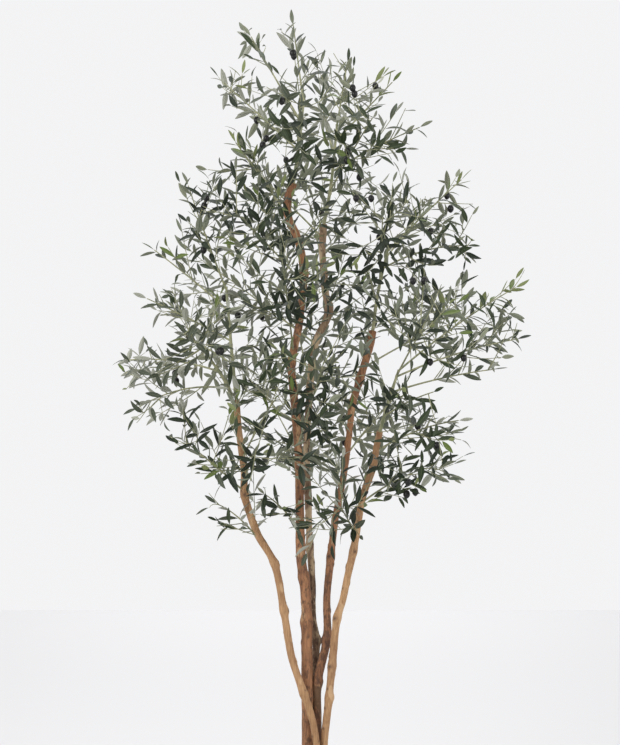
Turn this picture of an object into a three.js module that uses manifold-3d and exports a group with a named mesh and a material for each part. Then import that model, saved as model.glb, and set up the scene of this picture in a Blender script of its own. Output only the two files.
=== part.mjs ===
// An artificial olive tree, life size. Five bent wooden stems stand in the fill of a plain round pot.
// Leafy sprays plugged into the stems, and into a few boughs on their tips, make an airy head.
// Millimetres, Z up, X runs across the front view, and the viewer stands on the -Y side.
// The origin is the middle of the pot's underside.

import * as THREE from 'three';
import { mergeVertices } from 'three/addons/utils/BufferGeometryUtils.js';
import Module from 'manifold-3d';

const wasm = await Module();
wasm.setup();

// The pot and its fill
const POT_HEIGHT = 180;
const FOOT_RADIUS = 98;
const RIM_RADIUS = 122;
const RIM_BAND = 26;
const RIM_LIP = 5;
const POT_WALL = 3;
const GROUND = 160;
const POT_SIDES = 28;

// Clearance kept between any two pieces that touch on the real tree
const JOINT = 0.3;

// Wood and plastic limbs
const STEM_SIDES = 8;
const STEM_STEP = 85;
const KNOT_SWELL = 0.2;
const KNOT_REACH = 16;
const BOUGH_SIDES = 5;
const BOUGH_STEPS = 4;
const BOUGH_FOOT = 6;
const BOUGH_TIP = 4;

// Sprays: the stalk of each is a bow, and sprigs turn round its outer part
const STALK_FOOT = 4.4;
const STALK_TIP = 2.8;
const STALK_STEPS = 4;
const SPRIG_FOOT = 2.9;
const SPRIG_TIP = 2.2;
const SPRIG_SECTIONS = [0.12, 0.56, 1];
const SPRIG_LENGTH = 265;
const SPRIG_TAPER = [1.05, 0.6];
const SPRIG_VARIETY = [0.8, 1.2];
const SPRIG_LEAN = [34, 60];
const SPRIG_LIFT = 0.16;
const SPRIG_PLACES = 8;
const SPRIG_EVERY = 2;
const FIRST_SPRIG = 0.34;
const LAST_SPRIG = 0.96;
const SHORTEST_SPRIG = 48;

// Leaves stand in pairs with one more at each tip, and each is drawn for a few real ones
const LEAF_LENGTH = 108;
const LEAF_VARIETY = [0.85, 1.1];
const LEAF_WIDTH = 28;
const LEAF_THICKNESS = 4;
const LEAF_WIDEST = 0.4;
const LEAF_SINK = 1;
const LEAF_OPEN = 48;
const SPRIG_PAIRS = [0.25, 0.75];
const STALK_PAIRS = [0.7, 0.9];

// Fruit
const OLIVE_WIDTH = 18;
const OLIVE_LENGTH = 22;
const OLIVE_PLACE = 0.6;
const OLIVE_SINK = 1;
const OLIVE_TO_FRONT = 0.1;

// Stations of each stem from the ground up: [height, across, deep, radius], and heights of knots
const STEMS = {
  stem_left: {
    wood: 'tan',
    knots: [393, 640, 779, 981],
    stations: [
      [130, 14, -39, 10.5], [238, 5, -30, 10], [325, -10, -30, 10.5], [393, -33, -31, 11],
      [503, -69, -34, 11], [627, -90, -40, 10.5], [779, -120, -47, 10.5], [863, -168, -50, 11],
      [927, -192, -53, 10.5], [981, -207, -55, 10.5], [1043, -208, -56, 10],
      [1179, -224, -59, 9.5], [1256, -230, -60, 9],
    ],
  },
  stem_main: {
    wood: 'russet',
    knots: [600, 733, 1200, 1622],
    stations: [
      [130, -22, 5, 16.5], [478, -24, 5, 16.5], [689, -28, 5, 15.5], [793, -42, 4, 14],
      [902, -45, 3, 12.8], [1043, -47, 2, 12.2], [1179, -54, 0, 11.5], [1368, -69, -5, 12],
      [1425, -58, -7, 11], [1481, -47, -8, 11.5], [1565, -37, -10, 10.5], [1622, -33, -12, 12],
      [1679, -39, -13, 11.5], [1737, -53, -15, 11.5], [1793, -79, -17, 12],
      [1849, -80, -19, 12], [1893, -64, -20, 11],
    ],
  },
  stem_back: {
    wood: 'grey',
    knots: [542, 817, 1292, 1520],
    stations: [
      [130, 0, 42, 9.5], [430, -1, 42, 10], [542, 4, 43, 10.5], [607, -5, 44, 9.5],
      [711, -8, 46, 9.5], [817, -15, 49, 10.5], [990, -22, 54, 10.5], [1098, -25, 57, 10],
      [1203, -21, 61, 9.5], [1292, -15, 65, 10.5], [1397, -5, 70, 10.5], [1453, 13, 73, 10.5],
      [1498, 36, 76, 11], [1539, 42, 79, 11.5], [1566, 33, 80, 11], [1639, 26, 86, 11],
      [1707, 22, 93, 10.5], [1781, 26, 100, 11],
    ],
  },
  stem_middle: {
    wood: 'russet',
    knots: [421, 548, 793, 1318],
    stations: [
      [130, 9, 16, 12], [338, 7, 15, 12], [421, 7, 15, 13], [474, 18, 16, 12.5],
      [548, 35, 18, 11.5], [666, 35, 24, 10.5], [793, 47, 33, 11], [902, 60, 42, 10],
      [1026, 84, 56, 10], [1170, 104, 78, 9.5], [1232, 110, 88, 10.5], [1318, 135, 101, 11],
      [1415, 164, 114, 12], [1462, 174, 120, 11],
    ],
  },
  stem_right: {
    wood: 'tan',
    knots: [380, 474, 617, 816],
    stations: [
      [130, 23, -10, 11], [238, 26, -12, 11], [380, 41, -16, 11], [474, 50, -20, 11],
      [617, 65, -34, 11], [666, 80, -41, 10.5], [734, 94, -52, 10.5], [816, 111, -70, 10.5],
      [984, 140, -110, 10], [1067, 168, -130, 10], [1129, 178, -142, 9.5], [1167, 186, -150, 9],
    ],
  },
};

// Boughs: the limb that each grows on, the height of its socket there, and [across, deep, height]
// of its middle and its tip
const BOUGHS = {
  bough_left_low: { on: 'stem_left', from: 1215, mid: [-262, -85, 1310], tip: [-300, -95, 1370] },
  bough_left_high: { on: 'stem_left', from: 1252, mid: [-245, -30, 1400], tip: [-262, -10, 1590] },
  bough_main: { on: 'stem_main', from: 1889, mid: [-48, -24, 2000], tip: [-34, -26, 2130] },
  bough_back: { on: 'stem_back', from: 1777, mid: [48, 100, 1900], tip: [66, 88, 2080] },
  bough_middle: { on: 'stem_middle', from: 1458, mid: [190, 116, 1580], tip: [222, 96, 1720] },
  bough_right: { on: 'stem_right', from: 1163, mid: [206, -158, 1240], tip: [240, -165, 1345] },
};

// Foliage masses, each one spray: the limb, the height of its socket, [across, deep, height] of its
// furthest leaf tip, how far the middle of its stalk bows up, how long its sprigs are beside the
// usual ones, and its seed
const FOLIAGE = {
  foliage_low_left: ['stem_left', 810, [-318, -90, 965], 60, 0.7, 11],
  foliage_low_left_outer: ['stem_left', 985, [-408, -170, 1165], 10, 0.9, 12],
  foliage_low_centre: ['stem_main', 872, [-165, -190, 1000], 30, 0.75, 13],
  foliage_low_left_front: ['stem_left', 1010, [-160, -340, 1110], 50, 0.9, 35],
  foliage_low_left_inner: ['stem_left', 1085, [-100, -310, 1280], 20, 1, 14],
  foliage_low_right: ['stem_right', 960, [345, -250, 1075], 30, 0.8, 15],
  foliage_low_front: ['stem_right', 850, [55, -270, 960], 50, 0.8, 16],
  foliage_low_right_outer: ['stem_right', 1110, [442, -270, 1205], 40, 0.95, 17],
  foliage_low_right_inner: ['bough_right', 1210, [352, -380, 1290], 20, 0.9, 20],
  foliage_low_back: ['stem_back', 1040, [-130, 370, 1230], 10, 1, 18],
  foliage_low_back_right: ['stem_middle', 1090, [240, 390, 1250], 10, 1, 19],
  foliage_left_low: ['bough_left_low', 1290, [-560, -90, 1205], 70, 0.9, 21],
  foliage_left_mid: ['bough_left_low', 1340, [-598, 0, 1368], 40, 1, 22],
  foliage_left_front: ['bough_left_low', 1362, [-380, -390, 1450], 30, 1, 23],
  foliage_left_back: ['bough_left_high', 1360, [-430, 270, 1450], 20, 1, 24],
  foliage_left_high: ['bough_left_high', 1430, [-530, -70, 1570], 10, 1, 25],
  foliage_front_low: ['stem_main', 1120, [30, -430, 1390], 0, 1, 26],
  foliage_front_mid: ['stem_main', 1400, [-90, -440, 1640], 0, 1, 27],
  foliage_right_front: ['bough_right', 1330, [300, -490, 1470], 10, 1, 28],
  foliage_right_low: ['bough_right', 1280, [545, -230, 1350], 20, 1, 29],
  foliage_right_mid: ['bough_right', 1325, [625, -110, 1440], 30, 1, 30],
  foliage_right_high: ['bough_right', 1342, [622, -30, 1605], 30, 1, 31],
  foliage_right_back: ['stem_middle', 1350, [450, 320, 1500], 20, 1, 32],
  foliage_back_mid: ['stem_back', 1300, [-70, 450, 1540], 0, 1, 33],
  foliage_back_left: ['stem_back', 1420, [-320, 390, 1670], 0, 1, 34],
  foliage_left_upper: ['bough_left_high', 1520, [-510, 30, 1725], 10, 1, 41],
  foliage_left_top: ['bough_left_high', 1580, [-385, -70, 1928], -20, 0.9, 42],
  foliage_front_upper_left: ['stem_main', 1600, [-250, -340, 1810], 10, 1, 43],
  foliage_front_upper_right: ['bough_middle', 1600, [190, -290, 1790], 20, 1, 44],
  foliage_right_upper_low: ['bough_middle', 1650, [482, -50, 1705], 50, 1, 45],
  foliage_right_upper: ['bough_middle', 1700, [468, 60, 1940], 10, 0.85, 46],
  foliage_right_upper_back: ['bough_middle', 1680, [340, 370, 1800], 30, 1, 47],
  foliage_back_upper: ['stem_back', 1640, [-20, 410, 1890], 0, 1, 48],
  foliage_back_upper_left: ['stem_back', 1740, [-230, 310, 2010], 0, 1, 49],
  foliage_top_left_low: ['stem_main', 1780, [-255, -120, 2035], 10, 1, 51],
  foliage_top_left: ['bough_main', 1990, [-302, 30, 2225], 0, 0.85, 52],
  foliage_peak_left: ['bough_main', 2070, [-210, -50, 2358], 0, 0.8, 53],
  foliage_peak: ['bough_main', 2128, [-70, -20, 2402], 0, 0.75, 54],
  foliage_top_front: ['bough_main', 1950, [-40, -280, 2140], 10, 1, 55],
  foliage_top_front_right: ['bough_back', 1880, [180, -190, 2090], 10, 1, 56],
  foliage_peak_right: ['bough_back', 2078, [104, 60, 2305], 0, 0.8, 57],
  foliage_top_right: ['bough_back', 2030, [262, 90, 2238], 0, 0.85, 58],
  foliage_top_right_low: ['bough_back', 1940, [350, 40, 2080], 20, 0.95, 59],
  foliage_top_back: ['bough_back', 1990, [0, 290, 2190], 10, 1, 60],
};

// Olives in sight from the front: [across, height]
const OLIVES = [
  [-84, 2310], [112, 2175], [192, 2195], [-112, 2146], [-174, 2080], [-177, 2018], [91, 1955],
  [126, 1902], [168, 1846], [-357, 1842], [404, 1838], [-301, 1696], [-283, 1410], [324, 1632],
  [428, 1396], [324, 1346], [292, 1188], [286, 970],
];

const UP = new THREE.Vector3(0, 0, 1);

// Finishes
const FINISH = {
  tan: new THREE.MeshStandardMaterial({ color: 0xb98a5c, roughness: 0.85, metalness: 0 }),
  russet: new THREE.MeshStandardMaterial({ color: 0x96623f, roughness: 0.9, metalness: 0 }),
  grey: new THREE.MeshStandardMaterial({ color: 0x8a7258, roughness: 0.9, metalness: 0 }),
  sprayStem: new THREE.MeshStandardMaterial({ color: 0x6f7a5e, roughness: 0.6, metalness: 0 }),
  leaf: new THREE.MeshStandardMaterial({ color: 0x3b4f3e, roughness: 0.55, metalness: 0 }),
  pot: new THREE.MeshStandardMaterial({ color: 0x1d1d1e, roughness: 0.5, metalness: 0 }),
  fill: new THREE.MeshStandardMaterial({ color: 0x4a3c2e, roughness: 1, metalness: 0 }),
};

const group = new THREE.Group();

function addPiece(name, geometry, material) {
  const mesh = new THREE.Mesh(geometry, material);
  mesh.name = name;
  group.add(mesh);
}

// A number from 0 to 1 that looks random and is always the same for a seed and a place
function chance(seed, place) {
  const wave = Math.sin(seed * 12.9898 + place * 78.233) * 43758.5453;
  return wave - Math.floor(wave);
}

// A number between two ends, fixed by a seed and a place
function pick([low, high], seed, place) {
  return THREE.MathUtils.lerp(low, high, chance(seed, place));
}

function toSolid(geometry, matrix = new THREE.Matrix4()) {
  const bare = geometry.clone().applyMatrix4(matrix);
  bare.deleteAttribute('normal');
  bare.deleteAttribute('uv');
  const merged = mergeVertices(bare, 1e-4);
  return new wasm.Manifold(new wasm.Mesh({
    numProp: 3,
    vertProperties: new Float32Array(merged.attributes.position.array),
    triVerts: new Uint32Array(merged.index.array),
  }));
}

function toGeometry(solid) {
  const { vertProperties, triVerts } = solid.getMesh();
  const geometry = new THREE.BufferGeometry();
  geometry.setAttribute('position', new THREE.BufferAttribute(vertProperties, 3));
  geometry.setIndex(new THREE.BufferAttribute(triVerts, 1));
  geometry.computeVertexNormals();
  return geometry;
}

// The largest body, so that a scrap cut loose or a hollow sealed by fusing goes
function largestBody(solid) {
  return solid.decompose().reduce((best, body) => (body.volume() > best.volume() ? body : best));
}

// A closed round limb along a curve, with flat cut ends and a radius that may change on the way.
// grow thickens it and moves its ends out
function limbGeometry(curve, radiusAt, steps, sides, grow) {
  const frames = curve.computeFrenetFrames(steps);
  const positions = [];
  for (let i = 0; i <= steps; i++) {
    const centre = curve.getPointAt(i / steps);
    const radius = radiusAt(i / steps, centre) + grow;
    if (i === 0) centre.addScaledVector(frames.tangents[i], -grow);
    if (i === steps) centre.addScaledVector(frames.tangents[i], grow);
    for (let j = 0; j < sides; j++) {
      const angle = (2 * Math.PI * j) / sides;
      const corner = centre.clone()
        .addScaledVector(frames.normals[i], radius * Math.cos(angle))
        .addScaledVector(frames.binormals[i], radius * Math.sin(angle));
      positions.push(...corner.toArray());
    }
  }
  const faces = [];
  for (let i = 0; i < steps; i++) {
    for (let j = 0; j < sides; j++) {
      const here = i * sides + j;
      const next = i * sides + ((j + 1) % sides);
      faces.push(here, next, next + sides, here, next + sides, here + sides);
    }
  }
  const end = steps * sides;
  for (let j = 1; j < sides - 1; j++) {
    faces.push(0, j + 1, j, end, end + j, end + j + 1);
  }
  const geometry = new THREE.BufferGeometry();
  geometry.setAttribute('position', new THREE.Float32BufferAttribute(positions, 3));
  geometry.setIndex(faces);
  return geometry;
}

// A limb of the tree: its curve, its radius, and points along it for measuring distances
class Limb {
  constructor(curve, radiusAt, steps, sides) {
    this.curve = curve;
    this.radiusAt = radiusAt;
    this.steps = steps;
    this.sides = sides;
    this.points = curve.getSpacedPoints(steps);
    this.radii = this.points.map((point, i) => radiusAt(i / steps, point));
  }

  solid(grow = 0) {
    return toSolid(limbGeometry(this.curve, this.radiusAt, this.steps, this.sides, grow));
  }

  pointAtHeight(height) {
    const above = this.points.findIndex((point) => point.z >= height);
    const upper = Math.max(above, 1);
    const [a, b] = [this.points[upper - 1], this.points[upper]];
    return a.clone().lerp(b, (height - a.z) / (b.z - a.z));
  }
}

function stemLimb({ stations, knots }) {
  const curve = new THREE.CatmullRomCurve3(
    stations.map(([height, across, deep]) => new THREE.Vector3(across, deep, height)));
  const radiusAt = (t, { z }) => {
    const inside = stations.slice(1, -1);
    const above = 1 + inside.filter(([height]) => height < z).length;
    const [[lowZ, , , low], [highZ, , , high]] = [stations[above - 1], stations[above]];
    const plain = THREE.MathUtils.mapLinear(z, lowZ, highZ, low, high);
    const swell = knots.reduce((sum, knot) => sum + Math.exp(-(((z - knot) / KNOT_REACH) ** 2)), 0);
    return plain * (1 + KNOT_SWELL * swell);
  };
  const steps = Math.round(curve.getLength() / STEM_STEP);
  return new Limb(curve, radiusAt, steps, STEM_SIDES);
}

function boughLimb({ on, from, mid, tip }, limbs) {
  const curve = new THREE.CatmullRomCurve3([
    limbs[on].pointAtHeight(from), new THREE.Vector3(...mid), new THREE.Vector3(...tip)]);
  const radiusAt = (t) => THREE.MathUtils.lerp(BOUGH_FOOT, BOUGH_TIP, t);
  return new Limb(curve, radiusAt, BOUGH_STEPS, BOUGH_SIDES);
}

// What is left of a piece beside the limb that it plugs into
function plugInto(solid, limb) {
  return largestBody(solid.subtract(limb.solid(JOINT)));
}

function aboveGround(solid) {
  const depth = 100;
  const block = new THREE.BoxGeometry(2 * RIM_RADIUS, 2 * RIM_RADIUS, depth);
  block.translate(0, 0, GROUND + JOINT - depth / 2);
  return solid.subtract(toSolid(block));
}

function distanceToPath(point, path) {
  let least = Infinity;
  const segment = new THREE.Line3();
  const foot = new THREE.Vector3();
  for (let i = 1; i < path.length; i++) {
    segment.set(path[i - 1], path[i]).closestPointToPoint(point, true, foot);
    least = Math.min(least, foot.distanceTo(point));
  }
  return least;
}

function clearOfLimb(point, reach, limb) {
  const segment = new THREE.Line3();
  const foot = new THREE.Vector3();
  for (let i = 1; i < limb.points.length; i++) {
    segment.set(limb.points[i - 1], limb.points[i]).closestPointToPoint(point, true, foot);
    const radius = Math.max(limb.radii[i - 1], limb.radii[i]);
    if (foot.distanceTo(point) < radius + reach + 1) return false;
  }
  return true;
}

// Twigs and leaves are three-sided: a section has a centre, a side and a face direction, and its
// half width and half thickness
function section(centre, { side, face }, halfWidth, halfThickness) {
  return [90, 210, 330].map((degrees) => {
    const angle = THREE.MathUtils.degToRad(degrees);
    return centre.clone()
      .addScaledVector(side, (halfWidth * Math.cos(angle)) / Math.cos(Math.PI / 6))
      .addScaledVector(face, halfThickness * Math.sin(angle));
  });
}

// The section where a leaf is widest
function bladeSection(centre, frame) {
  return section(centre, frame, LEAF_WIDTH / 2, LEAF_THICKNESS / 1.5);
}

// The closed body through sections, which starts at a section or a point and ends in a point
function bodyThrough(sections, tip, root = null) {
  const corners = sections.flat();
  const faces = [];
  const join = (a, b, c) => faces.push(a, b, c);
  for (let i = 0; i + 1 < sections.length; i++) {
    for (let j = 0; j < 3; j++) {
      const [here, next] = [3 * i + j, 3 * i + ((j + 1) % 3)];
      join(here, next, next + 3);
      join(here, next + 3, here + 3);
    }
  }
  const last = 3 * (sections.length - 1);
  corners.push(tip);
  for (let j = 0; j < 3; j++) {
    join(last + j, last + ((j + 1) % 3), corners.length - 1);
  }
  if (root) {
    corners.push(root);
    for (let j = 0; j < 3; j++) {
      join((j + 1) % 3, j, corners.length - 1);
    }
  } else {
    join(0, 2, 1);
  }
  const geometry = new THREE.BufferGeometry().setFromPoints(corners);
  geometry.setIndex(faces);
  return geometry;
}

// Directions across a twig or leaf: level and upright, then rolled about it by a part of a turn
function framing(along, roll) {
  const side = new THREE.Vector3().crossVectors(UP, along).normalize();
  const face = new THREE.Vector3().crossVectors(along, side);
  side.applyAxisAngle(along, 2 * Math.PI * roll);
  face.applyAxisAngle(along, 2 * Math.PI * roll);
  return { side, face };
}

// The direction that leans out from a twig through the middle of one of its three flats
function leaning(along, roll, flat, lean) {
  const { side, face } = framing(along, roll);
  const turn = THREE.MathUtils.degToRad(30 + 120 * flat);
  return along.clone().multiplyScalar(Math.cos(lean))
    .addScaledVector(side, Math.cos(turn) * Math.sin(lean))
    .addScaledVector(face, Math.sin(turn) * Math.sin(lean));
}

// The point at a share of the way along a line of points, and the line's direction there
function placeOnLine(points, share) {
  const step = Math.min(Math.floor(share * (points.length - 1)), points.length - 2);
  const [a, b] = [points[step], points[step + 1]];
  return {
    point: a.clone().lerp(b, share * (points.length - 1) - step),
    along: b.clone().sub(a).normalize(),
  };
}

// One spray of leaves: a bowed stalk, sprigs round its outer part, and pairs of leaves on both
class Spray {
  constructor([on, from, tip, bow, size, seed], limbs) {
    this.limb = limbs[on];
    this.size = size;
    this.seed = seed;
    const root = this.limb.pointAtHeight(from);
    const end = new THREE.Vector3(...tip);
    const middle = root.clone().lerp(end, 0.5).addScaledVector(UP, bow);
    const bowed = new THREE.QuadraticBezierCurve3(root, middle, end);
    const share = 1 - LEAF_LENGTH / bowed.getLength();
    this.stalk = Array.from(
      { length: STALK_STEPS + 1 }, (_, i) => bowed.getPoint((share * i) / STALK_STEPS));
    this.path = [...this.stalk, end];
    this.bodies = [];
    this.twigs = [];
  }

  // True if a ball of this reach at the point is nearer to this spray's stalk than to any other
  // and touches no limb
  owns(point, reach, tree) {
    const own = distanceToPath(point, this.path);
    return tree.sprays.every((other) => other === this
      || distanceToPath(point, other.path) - own > 2 * reach + 1)
      && tree.limbs.every((limb) => clearOfLimb(point, reach, limb));
  }

  leafFits(root, direction, length, tree) {
    return [0.15, 0.3, 0.45, 0.6, 0.8, 1].every((share) => {
      const point = root.clone().addScaledVector(direction, share * length);
      const taper = share < LEAF_WIDEST ? share / LEAF_WIDEST : (1 - share) / (1 - LEAF_WIDEST);
      return this.owns(point, (taper * LEAF_WIDTH) / 2, tree);
    });
  }

  leafLength(place) {
    return LEAF_LENGTH * pick(LEAF_VARIETY, this.seed, place);
  }

  // Adds a body unless it would cross one that it doesn't grow from
  addBody(geometry, neighbours) {
    const solid = toSolid(geometry);
    const crosses = (body) => !neighbours.includes(body) && !body.intersect(solid).isEmpty();
    if (this.bodies.some(crosses)) return null;
    this.bodies.push(solid);
    return solid;
  }

  // A twig that ends in a leaf, as one body. It starts in a point when it grows inside a stalk
  addTwig({ centres, foot, tip, root, pairs, place, on }) {
    const roll = chance(this.seed, place + 0.3);
    const count = centres.length - 1;
    const sections = centres.map((centre, i) => {
      const radius = THREE.MathUtils.lerp(foot, tip, i / count);
      const frame = framing(placeOnLine(centres, i / count).along, roll);
      return section(centre, frame, radius * Math.cos(Math.PI / 6), radius);
    });
    const { point, along } = placeOnLine(centres, 1);
    const length = this.leafLength(place);
    const widest = point.clone().addScaledVector(along, LEAF_WIDEST * length);
    sections.push(bladeSection(widest, framing(along, roll)));
    const leafTip = point.clone().addScaledVector(along, length);
    const body = this.addBody(bodyThrough(sections, leafTip, root), on);
    if (body) this.twigs.push({ centres, roll, pairs, place, body });
    return roll;
  }

  growStalk() {
    this.roll = this.addTwig({
      centres: this.stalk, foot: STALK_FOOT, tip: STALK_TIP, pairs: STALK_PAIRS, place: 100, on: [],
    });
  }

  // A sprig leaves the stalk through the flat where it can grow longest. It is cut back until its
  // last leaf keeps to this spray's space
  growSprig(place, tree) {
    const t = THREE.MathUtils.lerp(FIRST_SPRIG, LAST_SPRIG, (place + 0.5) / SPRIG_PLACES);
    const { point: root, along } = placeOnLine(this.stalk, t);
    const lean = THREE.MathUtils.degToRad(pick(SPRIG_LEAN, this.seed, place + 20));
    const leaf = this.leafLength(200 + place);
    const reach = SPRIG_LENGTH * this.size * THREE.MathUtils.lerp(...SPRIG_TAPER, t)
      * pick(SPRIG_VARIETY, this.seed, place + 40);
    let best = { length: 0 };
    for (const flat of [0, 1, 2]) {
      const direction = leaning(along, this.roll, place + flat, lean);
      const pointAt = (length) => root.clone().addScaledVector(direction, length)
        .addScaledVector(UP, (SPRIG_LIFT * length * length) / reach);
      const fits = (length) => {
        const end = pointAt(length);
        const heading = end.clone().sub(pointAt(length / 2)).normalize();
        return this.leafFits(end, heading, leaf, tree);
      };
      let length = reach - leaf;
      while (length >= SHORTEST_SPRIG && !fits(length)) {
        length -= SHORTEST_SPRIG / 3;
      }
      if (length > best.length) best = { length, pointAt };
    }
    if (best.length < SHORTEST_SPRIG) return;
    this.addTwig({
      centres: SPRIG_SECTIONS.map((share) => best.pointAt(share * best.length)), root,
      foot: SPRIG_FOOT, tip: SPRIG_TIP, pairs: SPRIG_PAIRS, place: 200 + place,
      on: [this.bodies[0]],
    });
  }

  growPair(twig, share, flat, place, tree) {
    const { point, along } = placeOnLine(twig.centres, share);
    const lean = THREE.MathUtils.degToRad(LEAF_OPEN);
    const grown = [twig.body];
    for (const hand of [0, 1]) {
      const direction = leaning(along, twig.roll, flat + hand, lean);
      const length = this.leafLength(place + hand);
      if (this.leafFits(point, direction, length, tree)) {
        const root = point.clone().addScaledVector(direction, -LEAF_SINK);
        const widest = root.clone().addScaledVector(direction, LEAF_WIDEST * length);
        const tip = root.clone().addScaledVector(direction, length);
        const frame = framing(direction, 0.5 * chance(this.seed, place + hand + 0.5));
        const leaf = bodyThrough([bladeSection(widest, frame)], tip, root);
        grown.push(this.addBody(leaf, grown));
      }
    }
  }

  grow(tree) {
    this.growStalk();
    for (let place = 0; place < SPRIG_PLACES; place += SPRIG_EVERY) {
      this.growSprig(place, tree);
    }
    for (const twig of this.twigs) {
      twig.pairs.forEach((share, i) => {
        this.growPair(twig, share, i, twig.place + 0.1 * (i + 1), tree);
      });
    }
  }

  hangOlive(point) {
    const olive = new THREE.IcosahedronGeometry(1, 0);
    olive.scale(OLIVE_WIDTH / 2, OLIVE_WIDTH / 2, OLIVE_LENGTH / 2);
    olive.translate(point.x, point.y, point.z + OLIVE_SINK - OLIVE_LENGTH / 2);
    this.bodies.push(toSolid(olive));
  }

  solid() {
    return plugInto(wasm.Manifold.union(this.bodies), this.limb);
  }
}

// Each olive hangs on the sprig that passes nearest to its place, on the viewer's side
function hangOlives(sprays) {
  const hangers = sprays.flatMap((spray) => spray.twigs.slice(1).map(({ centres }) => (
    { spray, point: placeOnLine(centres, OLIVE_PLACE).point })));
  for (const [across, height] of OLIVES) {
    const miss = ({ point }) => (
      Math.hypot(point.x - across, point.z - height) + OLIVE_TO_FRONT * point.y);
    const best = hangers.reduce((a, b) => (miss(b) < miss(a) ? b : a));
    best.spray.hangOlive(best.point);
  }
}

// A turned shape from its profile of [radius, height]
function turned(profile) {
  const points = profile.map(([radius, height]) => new THREE.Vector2(radius, height));
  const geometry = new THREE.LatheGeometry(points, POT_SIDES);
  geometry.rotateX(Math.PI / 2);
  return geometry;
}

function wallRadius(height) {
  return THREE.MathUtils.lerp(FOOT_RADIUS, RIM_RADIUS - RIM_LIP, height / (POT_HEIGHT - RIM_BAND));
}

function makePot() {
  const bandFoot = POT_HEIGHT - RIM_BAND;
  const profile = [
    [0, 0], [FOOT_RADIUS, 0], [wallRadius(bandFoot), bandFoot],
    [RIM_RADIUS - 1, bandFoot], [RIM_RADIUS, POT_HEIGHT - 2], [RIM_RADIUS - 2, POT_HEIGHT],
    [wallRadius(POT_HEIGHT) - POT_WALL, POT_HEIGHT], [wallRadius(POT_WALL) - POT_WALL, POT_WALL],
    [0, POT_WALL],
  ];
  addPiece('pot', toGeometry(toSolid(turned(profile))), FINISH.pot);
}

function makeFill() {
  const foot = POT_WALL + JOINT;
  const inset = POT_WALL + JOINT;
  const profile = [
    [0, foot], [wallRadius(foot) - inset, foot], [wallRadius(GROUND) - inset, GROUND], [0, GROUND],
  ];
  addPiece('pot_fill', toGeometry(toSolid(turned(profile))), FINISH.fill);
}

makePot();
makeFill();

const limbs = {};
for (const [name, stem] of Object.entries(STEMS)) {
  limbs[name] = stemLimb(stem);
  addPiece(name, toGeometry(aboveGround(limbs[name].solid())), FINISH[stem.wood]);
}
for (const [name, bough] of Object.entries(BOUGHS)) {
  limbs[name] = boughLimb(bough, limbs);
  addPiece(name, toGeometry(plugInto(limbs[name].solid(), limbs[bough.on])), FINISH.sprayStem);
}

const sprays = Object.values(FOLIAGE).map((row) => new Spray(row, limbs));
const tree = { sprays, limbs: Object.values(limbs) };
for (const spray of sprays) {
  spray.grow(tree);
}
hangOlives(sprays);
Object.keys(FOLIAGE).forEach((name, i) => {
  addPiece(name, toGeometry(sprays[i].solid()), FINISH.leaf);
});

export default group;
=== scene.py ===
# %% [markdown]
# # An artificial olive tree
# Real wooden poles stand in a black pot, and plastic sprays of olive leaves are plugged into
# them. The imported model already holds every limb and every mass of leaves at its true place. It
# is loaded first, because each piece made here has to sit exactly where that model says.

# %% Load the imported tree
import math

import bpy
import numpy as np
from mathutils import Matrix, Vector, noise


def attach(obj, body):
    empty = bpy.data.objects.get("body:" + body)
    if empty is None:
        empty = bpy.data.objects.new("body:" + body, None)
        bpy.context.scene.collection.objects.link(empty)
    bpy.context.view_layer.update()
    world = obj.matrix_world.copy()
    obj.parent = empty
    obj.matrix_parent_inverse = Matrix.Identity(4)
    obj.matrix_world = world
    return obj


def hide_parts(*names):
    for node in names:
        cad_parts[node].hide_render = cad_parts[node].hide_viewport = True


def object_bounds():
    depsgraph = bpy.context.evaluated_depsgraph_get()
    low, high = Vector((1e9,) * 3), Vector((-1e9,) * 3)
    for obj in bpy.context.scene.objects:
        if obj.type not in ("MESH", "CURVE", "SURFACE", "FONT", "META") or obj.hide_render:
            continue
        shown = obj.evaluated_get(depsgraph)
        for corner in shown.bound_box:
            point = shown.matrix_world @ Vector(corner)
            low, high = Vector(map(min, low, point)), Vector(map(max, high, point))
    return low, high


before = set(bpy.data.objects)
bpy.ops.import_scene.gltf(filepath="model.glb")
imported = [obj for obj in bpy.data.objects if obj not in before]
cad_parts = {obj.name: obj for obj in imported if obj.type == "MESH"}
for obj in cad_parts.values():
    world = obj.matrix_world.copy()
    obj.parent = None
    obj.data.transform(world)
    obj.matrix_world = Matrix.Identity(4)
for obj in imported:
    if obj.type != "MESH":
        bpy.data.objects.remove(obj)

cad_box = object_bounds()
print("the packed tree is", [round(top - low, 3) for low, top in zip(*cad_box)], "metres")

# %% [markdown]
# ## Camera
# The photograph doesn't tell how far away it was taken, so six metres are assumed, level with the
# middle of the picture. A lens could be found by trying, but it follows from that distance and
# from the 2.95 mm that one pixel covers in the plane of the poles. So the tree fills the picture
# as it does in the photograph.

# %% Place the camera
MM = 0.001
PICTURE_HEIGHT = 745
PIXEL = 2.95 * MM
CAMERA_PLACE = (-15 * MM, -6.0, 1337 * MM)
SENSOR = 36


def deselect_all():
    bpy.ops.object.select_all(action="DESELECT")


deselect_all()
bpy.ops.object.camera_add(location=CAMERA_PLACE, rotation=(math.pi / 2, 0, 0))
camera = bpy.context.object
camera.data.sensor_width = SENSOR
camera.data.lens = SENSOR * -CAMERA_PLACE[1] / (PIXEL * PICTURE_HEIGHT)
bpy.context.scene.camera = camera
print("focal length", round(camera.data.lens, 1), "mm")

# %% [markdown]
# ## Studio
# The tree stands on a white studio floor in soft light from large panels. The floor ends well
# behind it, where the photograph has a faint line, and the rest is plain white air. A sun lamp
# would give every leaf a hard shadow. Area lights are softer the larger they are, so each panel
# here is at least as tall as the tree.

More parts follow.
